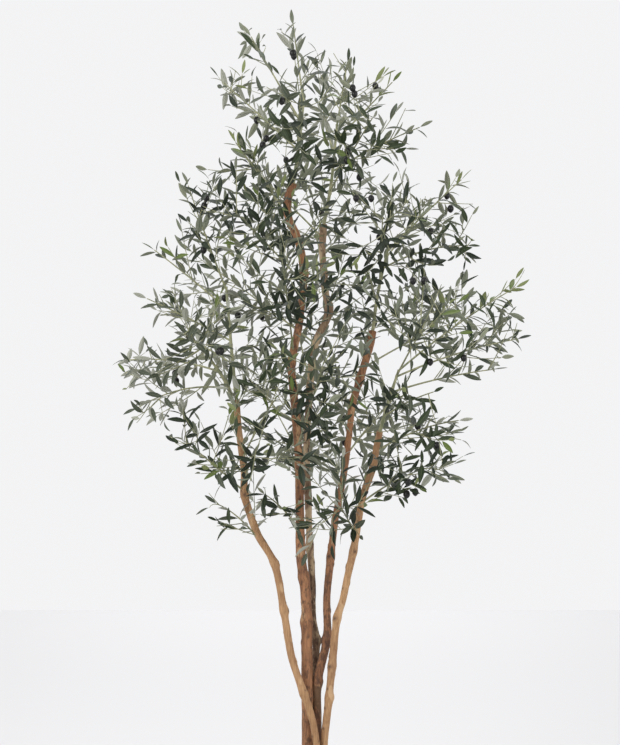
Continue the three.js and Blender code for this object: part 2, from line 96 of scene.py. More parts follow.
# %% Build the studio
FLOOR_SIZE = 10.9
FLOOR_LEVEL = -0.5 * MM
CROWN_MIDDLE = (0, 0, 1.5)
PANELS = {
    # place, the point it faces, its size and its watts
    "panel_left": ((-3.2, -3.4, 2.6), CROWN_MIDDLE, 2.4, 105),
    "panel_right": ((3.6, -2.6, 2.2), CROWN_MIDDLE, 2.4, 55),
    "panel_top": ((0, 0.4, 4.6), CROWN_MIDDLE, 3.0, 50),
    "panel_back": ((0, 5.9, 3.7), (0, 5.2, 0), 3.6, 82),
}

white = bpy.data.materials.new("floor_white")
white.use_nodes = True
white.node_tree.nodes["Principled BSDF"].inputs["Base Color"].default_value = (0.63, 0.63, 0.635, 1)
white.node_tree.nodes["Principled BSDF"].inputs["Roughness"].default_value = 0.6
bpy.ops.mesh.primitive_plane_add(size=FLOOR_SIZE, location=(0, 0, FLOOR_LEVEL))
floor = bpy.context.object
floor.name = "floor"
floor.data.materials.append(white)

for name, (place, aim, size, watts) in PANELS.items():
    turn = (Vector(aim) - Vector(place)).to_track_quat("-Z", "Y").to_euler()
    bpy.ops.object.light_add(type="AREA", location=place, rotation=turn)
    panel = bpy.context.object
    panel.name, panel.data.size, panel.data.energy = name, size, watts

air = bpy.data.worlds.new("white_air")
air.use_nodes = True
air.node_tree.nodes["Background"].inputs["Color"].default_value = (0.9, 0.9, 0.91, 1)
air.node_tree.nodes["Background"].inputs["Strength"].default_value = 1.0
bpy.context.scene.world = air
bpy.context.scene.view_settings.view_transform = "Standard"
print("a floor and", len(PANELS), "light panels")

# %% [markdown]
# ## The plan of the limbs
# These are the sizes of the real tree in millimetres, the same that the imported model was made
# from. Limbs traced anew by eye would leave their solids; from the same numbers each comes out
# where its solid is. Each pole is a row of stations: its height, its place across and in depth,
# and its radius. A bough goes on from the tip of a pole.

# %% Write down the poles and boughs
STEMS = {
    "stem_left": {
        "wood": "tan",
        "knots": [393, 640, 779, 981],
        "stations": [
            [130, 14, -39, 10.5], [238, 5, -30, 10], [325, -10, -30, 10.5], [393, -33, -31, 11],
            [503, -69, -34, 11], [627, -90, -40, 10.5], [779, -120, -47, 10.5],
            [863, -168, -50, 11], [927, -192, -53, 10.5], [981, -207, -55, 10.5],
            [1043, -208, -56, 10], [1179, -224, -59, 9.5], [1256, -230, -60, 9],
        ],
    },
    "stem_main": {
        "wood": "russet",
        "knots": [600, 733, 1200, 1622],
        "stations": [
            [130, -22, 5, 16.5], [478, -24, 5, 16.5], [689, -28, 5, 15.5], [793, -42, 4, 14],
            [902, -45, 3, 12.8], [1043, -47, 2, 12.2], [1179, -54, 0, 11.5], [1368, -69, -5, 12],
            [1425, -58, -7, 11], [1481, -47, -8, 11.5], [1565, -37, -10, 10.5],
            [1622, -33, -12, 12], [1679, -39, -13, 11.5], [1737, -53, -15, 11.5],
            [1793, -79, -17, 12], [1849, -80, -19, 12], [1893, -64, -20, 11],
        ],
    },
    "stem_back": {
        "wood": "grey",
        "knots": [542, 817, 1292, 1520],
        "stations": [
            [130, 0, 42, 9.5], [430, -1, 42, 10], [542, 4, 43, 10.5], [607, -5, 44, 9.5],
            [711, -8, 46, 9.5], [817, -15, 49, 10.5], [990, -22, 54, 10.5], [1098, -25, 57, 10],
            [1203, -21, 61, 9.5], [1292, -15, 65, 10.5], [1397, -5, 70, 10.5],
            [1453, 13, 73, 10.5], [1498, 36, 76, 11], [1539, 42, 79, 11.5], [1566, 33, 80, 11],
            [1639, 26, 86, 11], [1707, 22, 93, 10.5], [1781, 26, 100, 11],
        ],
    },
    "stem_middle": {
        "wood": "russet",
        "knots": [421, 548, 793, 1318],
        "stations": [
            [130, 9, 16, 12], [338, 7, 15, 12], [421, 7, 15, 13], [474, 18, 16, 12.5],
            [548, 35, 18, 11.5], [666, 35, 24, 10.5], [793, 47, 33, 11], [902, 60, 42, 10],
            [1026, 84, 56, 10], [1170, 104, 78, 9.5], [1232, 110, 88, 10.5],
            [1318, 135, 101, 11], [1415, 164, 114, 12], [1462, 174, 120, 11],
        ],
    },
    "stem_right": {
        "wood": "tan",
        "knots": [380, 474, 617, 816],
        "stations": [
            [130, 23, -10, 11], [238, 26, -12, 11], [380, 41, -16, 11], [474, 50, -20, 11],
            [617, 65, -34, 11], [666, 80, -41, 10.5], [734, 94, -52, 10.5], [816, 111, -70, 10.5],
            [984, 140, -110, 10], [1067, 168, -130, 10], [1129, 178, -142, 9.5],
            [1167, 186, -150, 9],
        ],
    },
}
BOUGHS = {
    "bough_left_low": ["stem_left", 1215, [-262, -85, 1310], [-300, -95, 1370]],
    "bough_left_high": ["stem_left", 1252, [-245, -30, 1400], [-262, -10, 1590]],
    "bough_main": ["stem_main", 1889, [-48, -24, 2000], [-34, -26, 2130]],
    "bough_back": ["stem_back", 1777, [48, 100, 1900], [66, 88, 2080]],
    "bough_middle": ["stem_middle", 1458, [190, 116, 1580], [222, 96, 1720]],
    "bough_right": ["stem_right", 1163, [206, -158, 1240], [240, -165, 1345]],
}
STEM_STEP = 85
KNOT_SWELL = 0.2
KNOT_REACH = 16
BOUGH_STEPS = 4
BOUGH_FOOT = 6
BOUGH_TIP = 4
print(len(STEMS), "poles and", len(BOUGHS), "boughs")

# %% [markdown]
# ## A rounded path
# A pole bends softly from station to station. Straight pieces would show corners, and a Bezier
# curve would need two handles for each station. A Catmull-Rom curve passes through every station
# and takes its heading there from the neighbours, and its centripetal kind leaves no loops where
# two stations are close. The path is then cut into even steps along its length.

# %% Round a path through its stations
PATH_DIVISIONS = 200


def point_on_curve(stations, t):
    """The point at a share t of the way from the first station to the last."""
    last = len(stations) - 1
    place = min(int(t * last), last - 1)
    weight = t * last - place
    b, c = stations[place], stations[place + 1]
    a = stations[place - 1] if place > 0 else 2 * b - c
    d = stations[place + 2] if place + 2 <= last else 2 * c - b
    ab, bc, cd = (math.sqrt(np.linalg.norm(q - p)) for p, q in ((a, b), (b, c), (c, d)))
    leaving = ((b - a) / ab - (c - a) / (ab + bc) + (c - b) / bc) * bc
    arriving = ((c - b) / bc - (d - b) / (bc + cd) + (d - c) / cd) * bc
    square = -3 * b + 3 * c - 2 * leaving - arriving
    cube = 2 * b - 2 * c + leaving + arriving
    return b + weight * (leaving + weight * (square + weight * cube))


def even_path(stations, steps=None, spacing=None):
    """Points evenly spaced along the rounded curve, by number or by distance."""
    stations = np.array(stations, float)
    shares = np.linspace(0, 1, PATH_DIVISIONS + 1)
    rough = np.array([point_on_curve(stations, t) for t in shares])
    lengths = np.r_[0, np.cumsum(np.linalg.norm(np.diff(rough, axis=0), axis=1))]
    steps = steps or math.floor(lengths[-1] / spacing + 0.5)
    wanted = np.linspace(0, lengths[-1], steps + 1)
    return np.array([point_on_curve(stations, t) for t in np.interp(wanted, lengths, shares)])


print("a rough path has", PATH_DIVISIONS, "steps")

# %% Lay out the limbs as paths
def stem_stations(name):
    return [[across, deep, height] for height, across, deep, _ in STEMS[name]["stations"]]


def stem_radius(name, height):
    """A pole's radius at a height, thicker round each knot."""
    heights, _, _, radii = np.array(STEMS[name]["stations"]).T
    swell = sum(np.exp(-(((height - knot) / KNOT_REACH) ** 2)) for knot in STEMS[name]["knots"])
    return np.interp(height, heights, radii) * (1 + KNOT_SWELL * swell)


def point_at_height(path, height):
    """The point of a path at a height."""
    upper = max(int(np.argmax(path[:, 2] >= height)), 1)
    low, high = path[upper - 1], path[upper]
    return low + (high - low) * (height - low[2]) / (high[2] - low[2])


limb_paths = {}
limb_radii = {}
for name in STEMS:
    limb_paths[name] = even_path(stem_stations(name), spacing=STEM_STEP)
    limb_radii[name] = stem_radius(name, limb_paths[name][:, 2])
bough_stations = {}
for name, (on, socket, middle, tip) in BOUGHS.items():
    bough_stations[name] = [point_at_height(limb_paths[on], socket), middle, tip]
    limb_paths[name] = even_path(bough_stations[name], steps=BOUGH_STEPS)
    limb_radii[name] = np.linspace(BOUGH_FOOT, BOUGH_TIP, BOUGH_STEPS + 1)
print(sum(len(path) for path in limb_paths.values()), "points on the limbs")

# %% [markdown]
# ## Shader arithmetic
# A node material is a sum written as boxes and wires. A small class that wraps a socket lets
# Python's own signs add those boxes, so a pattern reads as a formula. One method adds any other
# kind of node from its settings and what goes into it.

# %% Let sockets be added and multiplied
class Wire:
    """The output of a shader node, which +, - and * work on."""

    def __init__(self, finish, socket):
        self.finish = finish
        self.socket = socket

    def _math(self, operation, first, second):
        return self.finish.node("Math", {"operation": operation}, {0: first, 1: second})

    def __add__(self, other):
        return self._math("ADD", self, other)

    def __sub__(self, other):
        return self._math("SUBTRACT", self, other)

    def __rsub__(self, other):
        return self._math("SUBTRACT", other, self)

    def __mul__(self, other):
        return self._math("MULTIPLY", self, other)

    __radd__ = __add__
    __rmul__ = __mul__

    def above(self, edge, soft):
        """0 below the edge and 1 above it, with a soft step between."""
        settings = {"interpolation_type": "SMOOTHSTEP"}
        return self.finish.node("MapRange", settings, {
            "Value": self, "From Min": edge - soft, "From Max": edge + soft})


print("a socket can be added to, taken away and multiplied")

# %% Write materials as formulas
class Finish:
    """A material on a Principled shader, with a method that adds nodes to it."""

    def __init__(self, name):
        self.material = bpy.data.materials.new(name)
        self.material.use_nodes = True
        self.tree = self.material.node_tree
        self.shader = self.tree.nodes["Principled BSDF"]

    def node(self, kind, settings=None, inputs=None, output=0):
        made = self.tree.nodes.new("ShaderNode" + kind)
        for key, value in (settings or {}).items():
            if key == "stops":
                self._fill_ramp(made.color_ramp, value)
            else:
                setattr(made, key, value)
        for key, value in (inputs or {}).items():
            self._join(value, made.inputs[key])
        return Wire(self, made.outputs[output])

    def _join(self, value, socket):
        if isinstance(value, Wire):
            self.tree.links.new(value.socket, socket)
        else:
            socket.default_value = value

    def _fill_ramp(self, ramp, stops):
        while len(ramp.elements) < len(stops):
            ramp.elements.new(0.5)
        for element, (place, colour) in zip(ramp.elements, stops):
            element.position = place
            element.color = colour

    def ramp(self, wire, *stops):
        return self.node("ValToRGB", {"stops": stops}, {0: wire})

    def blend(self, share, first, second):
        """A colour between two others."""
        return self.node("Mix", {"data_type": "RGBA"}, {0: share, 6: first, 7: second}, output=2)

    def place(self, stretch=(1, 1, 1)):
        """The place on the piece, with its pattern drawn out along some directions."""
        where = self.node("TexCoord", output=3)
        return self.node("Mapping", {}, {"Vector": where, "Scale": stretch})

    def noise(self, place, scale, detail=3, roughness=0.55):
        return self.node("TexNoise", {}, {
            "Vector": place, "Scale": scale, "Detail": detail, "Roughness": roughness})

    def mark(self, name):
        """A number that the piece's points carry."""
        return self.node("Attribute", {"attribute_name": name}, output=2)

    def surface(self, **sockets):
        """Joins colours, numbers or wires to the shader's sockets, by name."""
        for key, value in sockets.items():
            self._join(value, self.shader.inputs[key.replace("_", " ")])

    def bump(self, height, depth):
        """Small relief; depth is in metres."""
        self.surface(Normal=self.node("Bump", {}, {
            "Strength": 1.0, "Distance": depth, "Height": height}))


def shade(red, green, blue):
    """A colour as a picture editor gives it, from 0 to 255, in the shader's linear numbers."""
    linear = [((c / 255 + 0.055) / 1.055) ** 2.4 if c > 10 else c / 3295 for c in (red, green, blue)]
    return (*linear, 1)


print("materials can be written as formulas")

# %% [markdown]
# ## Wood
# Two poles are pale and peeled, two are red-brown with their bark on, and the one at the back is
# grey and flaking. On all of them long streaks run along the wood, knots are darker, and where a
# flake of bark is gone the wood under it is lighter. Noise that is drawn out along the height
# gives the streaks. For the rest the poles' points carry three marks, knot, peel and how dark the
# bark is made at each height, that the finish reads, so colour and relief fall on the same places.

# %% Mix the wood finishes
WOODS = {
    "tan": {
        "dark": shade(132, 95, 62), "light": shade(178, 140, 100), "bare": shade(188, 154, 116),
        "knot": shade(62, 42, 30), "weather": shade(104, 66, 44), "flecks": 0.25, "rough": 0.7,
    },
    "russet": {
        "dark": shade(104, 68, 46), "light": shade(158, 113, 78), "bare": shade(178, 140, 102),
        "knot": shade(48, 34, 26), "weather": shade(66, 46, 36), "flecks": 0.7, "rough": 0.8,
    },
    "grey": {
        "dark": shade(96, 74, 56), "light": shade(152, 128, 102), "bare": shade(184, 162, 132),
        "knot": shade(48, 36, 28), "weather": shade(70, 48, 36), "flecks": 0.8, "rough": 0.85,
    },
}


def wood_finish(name, dark, light, bare, knot, weather, flecks, rough):
    finish = Finish(f"wood_{name}")
    streaks = finish.noise(finish.place((1, 1, 0.12)), 260, detail=4)
    cloud = finish.noise(finish.place((1, 1, 0.4)), 22, detail=2)
    grain = finish.noise(finish.place((1, 1, 0.05)), 900, detail=2)
    tone = streaks * 0.55 + cloud * 0.45
    colour = finish.ramp(tone, (0.36, dark), (0.62, light))
    colour = finish.blend(finish.mark("peel"), colour, bare)
    patches = finish.noise(finish.place((1, 1, 0.5)), 105, detail=4, roughness=0.65)
    # dark patches from noise, more of them where the points' mark makes the bark darker at that height
    dark_share = (patches + finish.mark("weather") * 0.36).above(0.66, 0.07)
    colour = finish.blend(dark_share * flecks, colour, weather)
    colour = finish.blend(finish.mark("knot"), colour, knot)
    finish.surface(Base_Color=colour, Roughness=streaks * 0.2 + (rough - 0.1))
    finish.bump(streaks * 0.7 + grain * 0.3, 0.5 * MM)
    return finish.material


wood = {name: wood_finish(name, **look) for name, look in WOODS.items()}
print("woods:", list(wood))

# %% [markdown]
# ## Poles
# A pole is a path with a thickness that changes on the way. A cylinder could be extruded and
# scaled ring by ring, but a bevelled curve is just that already: its points carry the radius.
# Turned into a mesh, its rings are close enough together to be moved point by point.

# %% Draw a limb as a bevelled curve
RING_SPACING = 3.2
STEM_RING_DETAIL = 13


def draw_limb(name, path, radii, ring_detail):
    """A closed tube along a path in millimetres, as a mesh in metres."""
    deselect_all()
    bpy.ops.curve.primitive_nurbs_path_add()
    limb = bpy.context.object
    limb.name = name
    limb.data.splines.clear()
    line = limb.data.splines.new("POLY")
    line.points.add(len(path) - 1)
    line.points.foreach_set("co", np.c_[path * MM, np.ones(len(path))].ravel())
    line.points.foreach_set("radius", np.asarray(radii) * MM)
    limb.data.bevel_depth = 1
    limb.data.bevel_resolution = ring_detail
    limb.data.use_fill_caps = True
    bpy.ops.object.convert(target="MESH")
    return bpy.context.object


def points_of(piece):
    co = np.empty(len(piece.data.vertices) * 3)
    piece.data.vertices.foreach_get("co", co)
    return co.reshape(-1, 3)


def move_points(piece, points):
    piece.data.vertices.foreach_set("co", np.asarray(points, float).ravel())
    piece.data.update()


def mark_points(piece, name, values):
    """Stores a number for each point, for the finish to read."""
    piece.data.attributes.new(name, "FLOAT", "POINT").data.foreach_set("value", values)


def chance(seed, place):
    """A number from 0 to 1 that looks random and is always the same for a seed and a place."""
    wave = math.sin(seed * 12.9898 + place * 78.233) * 43758.5453
    return wave - math.floor(wave)


print("poles have a ring every", RING_SPACING, "mm")

# %% [markdown]
# ## Bark
# The peeled poles have shallow dents, the others long ridges and flakes of bark that stand out
# from the bare wood, and all have a small raised knot wherever a twig once grew. Bump in the
# finish would leave the outline smooth, and carving by hand couldn't be done again, so noise
# moves the points of the mesh itself.

# %% Describe the bark
def smooth_step(values, edge, soft):
    share = np.clip((values - edge + soft) / (2 * soft), 0, 1)
    return share * share * (3 - 2 * share)


def pattern(points, scale, stretch, seed):
    """Soft noise from -1 to 1 at each point, drawn out along the height."""
    shift = Vector((seed * 3.7, seed * 1.3, seed * 9.1))
    steps = points / np.array([scale, scale, scale * stretch])
    return np.array([noise.noise(Vector(step) + shift) for step in steps])


BARK = {
    # peel: the noise above which bark is gone; the rest: depth of relief in millimetres
    "tan": {"peel": 0.34, "dents": 0.9, "ridges": 0.35, "flake": 0.25},
    "russet": {"peel": 0.36, "dents": 1.0, "ridges": 0.7, "flake": 0.6},
    "grey": {"peel": 0.12, "dents": 1.0, "ridges": 0.8, "flake": 0.9},
}
DARK_PATCH_HEIGHTS = {
    # how much darker the bark is made at some heights, from 0 to 1
    "stem_left": [(160, 0.3), (400, 0.1), (950, 0.15), (1040, 0.5), (1256, 0.5)],
    "stem_main": [(160, 0.3), (500, 0.2), (760, 0.35), (900, 0.2), (1300, 0.4), (1893, 0.3)],
    "stem_back": [
        (160, 0.6), (560, 0.45), (700, 0.6), (750, 0.2), (1300, 0.2), (1480, 0), (1781, 0.3)],
    "stem_middle": [
        (160, 0.8), (400, 0.7), (440, 0.4), (560, 0.45), (760, 0.3), (900, 0), (1462, 0.3)],
    "stem_right": [(160, 0.3), (780, 0.15), (900, 0.5), (1167, 0.6)],
}
NOISES = {
    # size in millimetres, and how far it is drawn out along the height
    "peel": (26, 2.6), "dents": (38, 1.4), "ridges": (4.5, 6), "grain": (2.6, 1.5),
}
GRAIN_DEPTH = 0.3
PEEL_EDGE = 0.05
print("bark for", list(BARK))

# %% Give a pole its bark
KNOT_EVERY = 44
KNOT_SIZE = 6.5
BIG_KNOT = 1.3
KNOT_TALL = 1.25
KNOT_MOUND = 0.5
KNOT_PIT = 0.3
PIT_REACH = 0.35
DARK_REACH = 0.55
KNOTS_FROM_FOOT = 30
KNOTS_FROM_TOP = 25
CUT_EDGE = 4
MARK_STRENGTH = {"peel": 0.85, "knot": 0.9}


def raise_bark(piece, path, name, wood_name, seed, big_knots):
    """Moves a pole's points out and in, and marks its knots, its peel and how dark its bark is made by
    height.
    """
    look = BARK[wood_name]
    points = points_of(piece) / MM
    centres = np.array([np.interp(points[:, 2], path[:, 2], path[:, axis]) for axis in (0, 1)]).T
    out = points[:, :2] - centres
    radius = np.linalg.norm(out, axis=1)
    out /= np.maximum(radius, 0.01)[:, None]
    turn = np.arctan2(out[:, 1], out[:, 0])

    peel = smooth_step(pattern(points, *NOISES["peel"], seed), look["peel"], PEEL_EDGE)
    lift = look["dents"] * pattern(points, *NOISES["dents"], seed + 1)
    lift += look["ridges"] * pattern(points, *NOISES["ridges"], seed + 2)
    lift += look["flake"] * (0.4 - peel) + GRAIN_DEPTH * pattern(points, *NOISES["grain"], seed + 3)

    knot = np.zeros(len(points))
    foot, top = path[0, 2] + KNOTS_FROM_FOOT, path[-1, 2] - KNOTS_FROM_TOP
    small = [foot + KNOT_EVERY * (i + chance(seed, i)) for i in range(int((top - foot) / KNOT_EVERY))]
    for i, height in enumerate([*small, *big_knots]):
        size = KNOT_SIZE * (BIG_KNOT if height in big_knots else 0.55 + 0.4 * chance(seed, i + 0.5))
        gap = np.abs((turn - 2 * math.pi * chance(seed, i + 90) + math.pi) % (2 * math.pi) - math.pi)
        away = np.hypot((points[:, 2] - height) / (KNOT_TALL * size), gap * radius / size)
        pit = KNOT_PIT * size * np.exp(-((away / PIT_REACH) ** 2))
        lift += KNOT_MOUND * size * np.exp(-(away**2)) - pit
        knot = np.maximum(knot, np.exp(-((away / DARK_REACH) ** 2)))

    lift *= np.clip((path[-1, 2] - points[:, 2]) / CUT_EDGE, 0, 1)
    points[:, :2] += out * lift[:, None]
    move_points(piece, points * MM)
    mark_points(piece, "peel", peel * MARK_STRENGTH["peel"])
    mark_points(piece, "weather", np.interp(points[:, 2], *np.array(DARK_PATCH_HEIGHTS[name]).T))
    mark_points(piece, "knot", knot * MARK_STRENGTH["knot"])


print("a small knot about every", KNOT_EVERY, "mm")

# %% Make the poles
FOOT_IN_FILL = 12
GROUND = 160
poles = {}
for seed, (name, stem) in enumerate(STEMS.items()):
    path = even_path(stem_stations(name), spacing=RING_SPACING)
    path = path[path[:, 2] > GROUND - FOOT_IN_FILL]
    pole = draw_limb(f"{name}_wood", path, stem_radius(name, path[:, 2]), STEM_RING_DETAIL)
    raise_bark(pole, path, name, stem["wood"], seed + 1, stem["knots"])
    pole.data.materials.clear()
    pole.data.materials.append(wood[stem["wood"]])
    bpy.ops.object.shade_smooth()
    poles[name] = pole
    print(pole.name, len(pole.data.polygons), "faces")

# %% [markdown]
# ## Plastic stems
# The sprays and the boughs on the poles' tips are moulded in grey-green plastic over wire. They
# are a little browner in places and have a matt, faintly streaked skin. One flat colour would
# look painted, so a ramp on streaky noise shifts it towards a paler, browner tone.

# %% Mix the finish of the plastic stems
def stem_plastic():
    finish = Finish("plastic_stem")
    streaks = finish.noise(finish.place((1, 1, 0.3)), 90, detail=3)
    finish.surface(
        Base_Color=finish.ramp(streaks, (0.35, shade(104, 110, 78)), (0.65, shade(158, 156, 122))),
        Roughness=streaks * 0.2 + 0.45)
    finish.bump(streaks, 0.3 * MM)
    return finish.material


plastic = stem_plastic()
print("finish:", plastic.name)

# %% [markdown]
# ## Boughs
# Each bough is the thick wire-cored stem that carries several sprays. It swells a little where
# each leaf pair of a real twig would have sat. Such rings could be extruded one by one, but drawn
# as the poles are, they are only a change of the radius along the curve. All six boughs are
# joined, because they are one kind of thing.

# %% Draw the boughs
BOUGH_SPACING = 2.5
BOUGH_RING_DETAIL = 6
NODE_EVERY = 34
NODE_SWELL = 0.22
NODE_REACH = 3.5
BETWEEN_NODES = 0.9


def noded_radius(along, plain):
    """A stem's radius at distances along it, a little thicker at each node."""
    from_node = np.abs((along + NODE_EVERY / 2) % NODE_EVERY - NODE_EVERY / 2)
    return plain * (1 + NODE_SWELL * np.exp(-((from_node / NODE_REACH) ** 2)))


def join_pieces(pieces, name):
    deselect_all()
    for piece in pieces:
        piece.select_set(True)
    bpy.context.view_layer.objects.active = pieces[0]
    bpy.ops.object.join()
    joined = bpy.context.object
    joined.name = name
    return joined


boughs = []
for name, stations in bough_stations.items():
    path = even_path(stations, spacing=BOUGH_SPACING)
    along = np.arange(len(path)) * BOUGH_SPACING
    plain = np.linspace(BOUGH_FOOT, BOUGH_TIP, len(path)) * BETWEEN_NODES
    boughs.append(draw_limb(name, path, noded_radius(along, plain), BOUGH_RING_DETAIL))
bough_stems = join_pieces(boughs, "bough_stems")
bough_stems.data.materials.append(plastic)
bpy.ops.object.shade_smooth()
print(bough_stems.name, len(bough_stems.data.polygons), "faces")

# %% [markdown]
# ## The plan of the sprays
# Every mass of leaves on the tree is one spray: a bowed stalk with sprigs round its outer part.
# Hundreds of sprigs could be drawn one by one, but a spray needs only a row and a rule. Each row
# says which limb it is plugged into and how high, where its furthest leaf tip is (across, deep,
# height), how far its stalk bows up, how long its sprigs are, and its seed. The olives that show
# from the front are listed by where the photograph has them, across and up.

# %% Write down the sprays
FOLIAGE = {
    "foliage_low_left": ["stem_left", 810, [-318, -90, 965], 60, 0.7, 11],
    "foliage_low_left_outer": ["stem_left", 985, [-408, -170, 1165], 10, 0.9, 12],
    "foliage_low_centre": ["stem_main", 872, [-165, -190, 1000], 30, 0.75, 13],
    "foliage_low_left_front": ["stem_left", 1010, [-160, -340, 1110], 50, 0.9, 35],
    "foliage_low_left_inner": ["stem_left", 1085, [-100, -310, 1280], 20, 1, 14],
    "foliage_low_right": ["stem_right", 960, [345, -250, 1075], 30, 0.8, 15],
    "foliage_low_front": ["stem_right", 850, [55, -270, 960], 50, 0.8, 16],
    "foliage_low_right_outer": ["stem_right", 1110, [442, -270, 1205], 40, 0.95, 17],
    "foliage_low_right_inner": ["bough_right", 1210, [352, -380, 1290], 20, 0.9, 20],
    "foliage_low_back": ["stem_back", 1040, [-130, 370, 1230], 10, 1, 18],
    "foliage_low_back_right": ["stem_middle", 1090, [240, 390, 1250], 10, 1, 19],
    "foliage_left_low": ["bough_left_low", 1290, [-560, -90, 1205], 70, 0.9, 21],
    "foliage_left_mid": ["bough_left_low", 1340, [-598, 0, 1368], 40, 1, 22],
    "foliage_left_front": ["bough_left_low", 1362, [-380, -390, 1450], 30, 1, 23],
    "foliage_left_back": ["bough_left_high", 1360, [-430, 270, 1450], 20, 1, 24],
    "foliage_left_high": ["bough_left_high", 1430, [-530, -70, 1570], 10, 1, 25],
    "foliage_front_low": ["stem_main", 1120, [30, -430, 1390], 0, 1, 26],
    "foliage_front_mid": ["stem_main", 1400, [-90, -440, 1640], 0, 1, 27],
    "foliage_right_front": ["bough_right", 1330, [300, -490, 1470], 10, 1, 28],
    "foliage_right_low": ["bough_right", 1280, [545, -230, 1350], 20, 1, 29],
    "foliage_right_mid": ["bough_right", 1325, [625, -110, 1440], 30, 1, 30],
    "foliage_right_high": ["bough_right", 1342, [622, -30, 1605], 30, 1, 31],
    "foliage_right_back": ["stem_middle", 1350, [450, 320, 1500], 20, 1, 32],
    "foliage_back_mid": ["stem_back", 1300, [-70, 450, 1540], 0, 1, 33],
    "foliage_back_left": ["stem_back", 1420, [-320, 390, 1670], 0, 1, 34],
    "foliage_left_upper": ["bough_left_high", 1520, [-510, 30, 1725], 10, 1, 41],
    "foliage_left_top": ["bough_left_high", 1580, [-385, -70, 1928], -20, 0.9, 42],
    "foliage_front_upper_left": ["stem_main", 1600, [-250, -340, 1810], 10, 1, 43],
    "foliage_front_upper_right": ["bough_middle", 1600, [190, -290, 1790], 20, 1, 44],
    "foliage_right_upper_low": ["bough_middle", 1650, [482, -50, 1705], 50, 1, 45],
    "foliage_right_upper": ["bough_middle", 1700, [468, 60, 1940], 10, 0.85, 46],
    "foliage_right_upper_back": ["bough_middle", 1680, [340, 370, 1800], 30, 1, 47],
    "foliage_back_upper": ["stem_back", 1640, [-20, 410, 1890], 0, 1, 48],
    "foliage_back_upper_left": ["stem_back", 1740, [-230, 310, 2010], 0, 1, 49],
    "foliage_top_left_low": ["stem_main", 1780, [-255, -120, 2035], 10, 1, 51],
    "foliage_top_left": ["bough_main", 1990, [-302, 30, 2225], 0, 0.85, 52],
    "foliage_peak_left": ["bough_main", 2070, [-210, -50, 2358], 0, 0.8, 53],
    "foliage_peak": ["bough_main", 2128, [-70, -20, 2402], 0, 0.75, 54],
    "foliage_top_front": ["bough_main", 1950, [-40, -280, 2140], 10, 1, 55],
    "foliage_top_front_right": ["bough_back", 1880, [180, -190, 2090], 10, 1, 56],
    "foliage_peak_right": ["bough_back", 2078, [104, 60, 2305], 0, 0.8, 57],
    "foliage_top_right": ["bough_back", 2030, [262, 90, 2238], 0, 0.85, 58],
    "foliage_top_right_low": ["bough_back", 1940, [350, 40, 2080], 20, 0.95, 59],
    "foliage_top_back": ["bough_back", 1990, [0, 290, 2190], 10, 1, 60],
}
OLIVES = [
    [-86, 2321], [-83, 2297], [109, 2179], [112, 2158], [192, 2197], [-112, 2147], [-174, 2082],
    [-177, 2035], [-177, 2014], [91, 1955], [124, 1990], [127, 1914], [127, 1893], [-357, 1852],
    [-360, 1831], [168, 1846], [404, 1849], [404, 1825], [-301, 1698], [-283, 1418], [-283, 1397],
    [324, 1639], [313, 1624], [428, 1397], [324, 1347], [292, 1188], [360, 1111], [274, 993],
    [286, 973], [286, 958],
]
LEAF_LENGTH = 108
LEAF_VARIETY = (0.85, 1.1)
STALK_STEPS = 4
SPRIG_LENGTH = 265
SPRIG_TAPER = (1.05, 0.6)
SPRIG_VARIETY = (0.8, 1.2)
SPRIG_LEAN = (34, 60)
SPRIG_LIFT = 0.16
SPRIG_PLACES = 8
FIRST_SPRIG = 0.34
LAST_SPRIG = 0.96
SHORTEST_SPRIG = 48
UP = np.array([0.0, 0.0, 1.0])
print(len(FOLIAGE), "sprays")

# %% [markdown]
# ## Room for each spray
# A spray keeps to the space that is nearer to its own stalk than to any other, and off the
# limbs. Testing mesh against mesh would be slow, and stalks and limbs are thin, so each counts as
# straight pieces of line. Arrays give the distances of many points from all of them in one step.

# %% Measure distances to lines
def distances(points, starts, ends):
    """From each point to each straight piece of line."""
    lines = ends - starts
    length = np.maximum((lines**2).sum(1), 1e-9)
    offset = points[:, None] - starts
    share = np.clip((offset * lines).sum(2) / length, 0, 1)
    return np.linalg.norm(offset - share[..., None] * lines, axis=2)


def lerp(first, second, share):
    return first + (second - first) * share


def pick(ends, seed, place):
    return lerp(ends[0], ends[1], chance(seed, place))


def unit(vector):
    return vector / np.linalg.norm(vector)


SPARE = 1
limb_starts = np.concatenate([path[:-1] for path in limb_paths.values()])
limb_ends = np.concatenate([path[1:] for path in limb_paths.values()])
limb_thickness = np.concatenate([np.maximum(r[:-1], r[1:]) for r in limb_radii.values()])


def clear_of_limbs(points, reach):
    """True where a ball at the point touches no limb."""
    return (distances(points, limb_starts, limb_ends) - limb_thickness).min(1) > reach + SPARE


print(len(limb_starts), "straight pieces of limb to keep clear of")

# %% [markdown]
# ## The crown's outline
# Seen from the front, the crown has a ragged edge of twig tips, and sky shows through it in some
# places. Twigs that grow freely would fill a smooth, even shape. So twigs and leaves keep inside
# an outline and out of the gaps, in millimetres across and up in the plane of the poles, as the
# camera sees them. These numbers weren't chosen by hand. Another program traced them on the
# photograph, all but a few. Fewer points, drawn by hand, would be the better example.

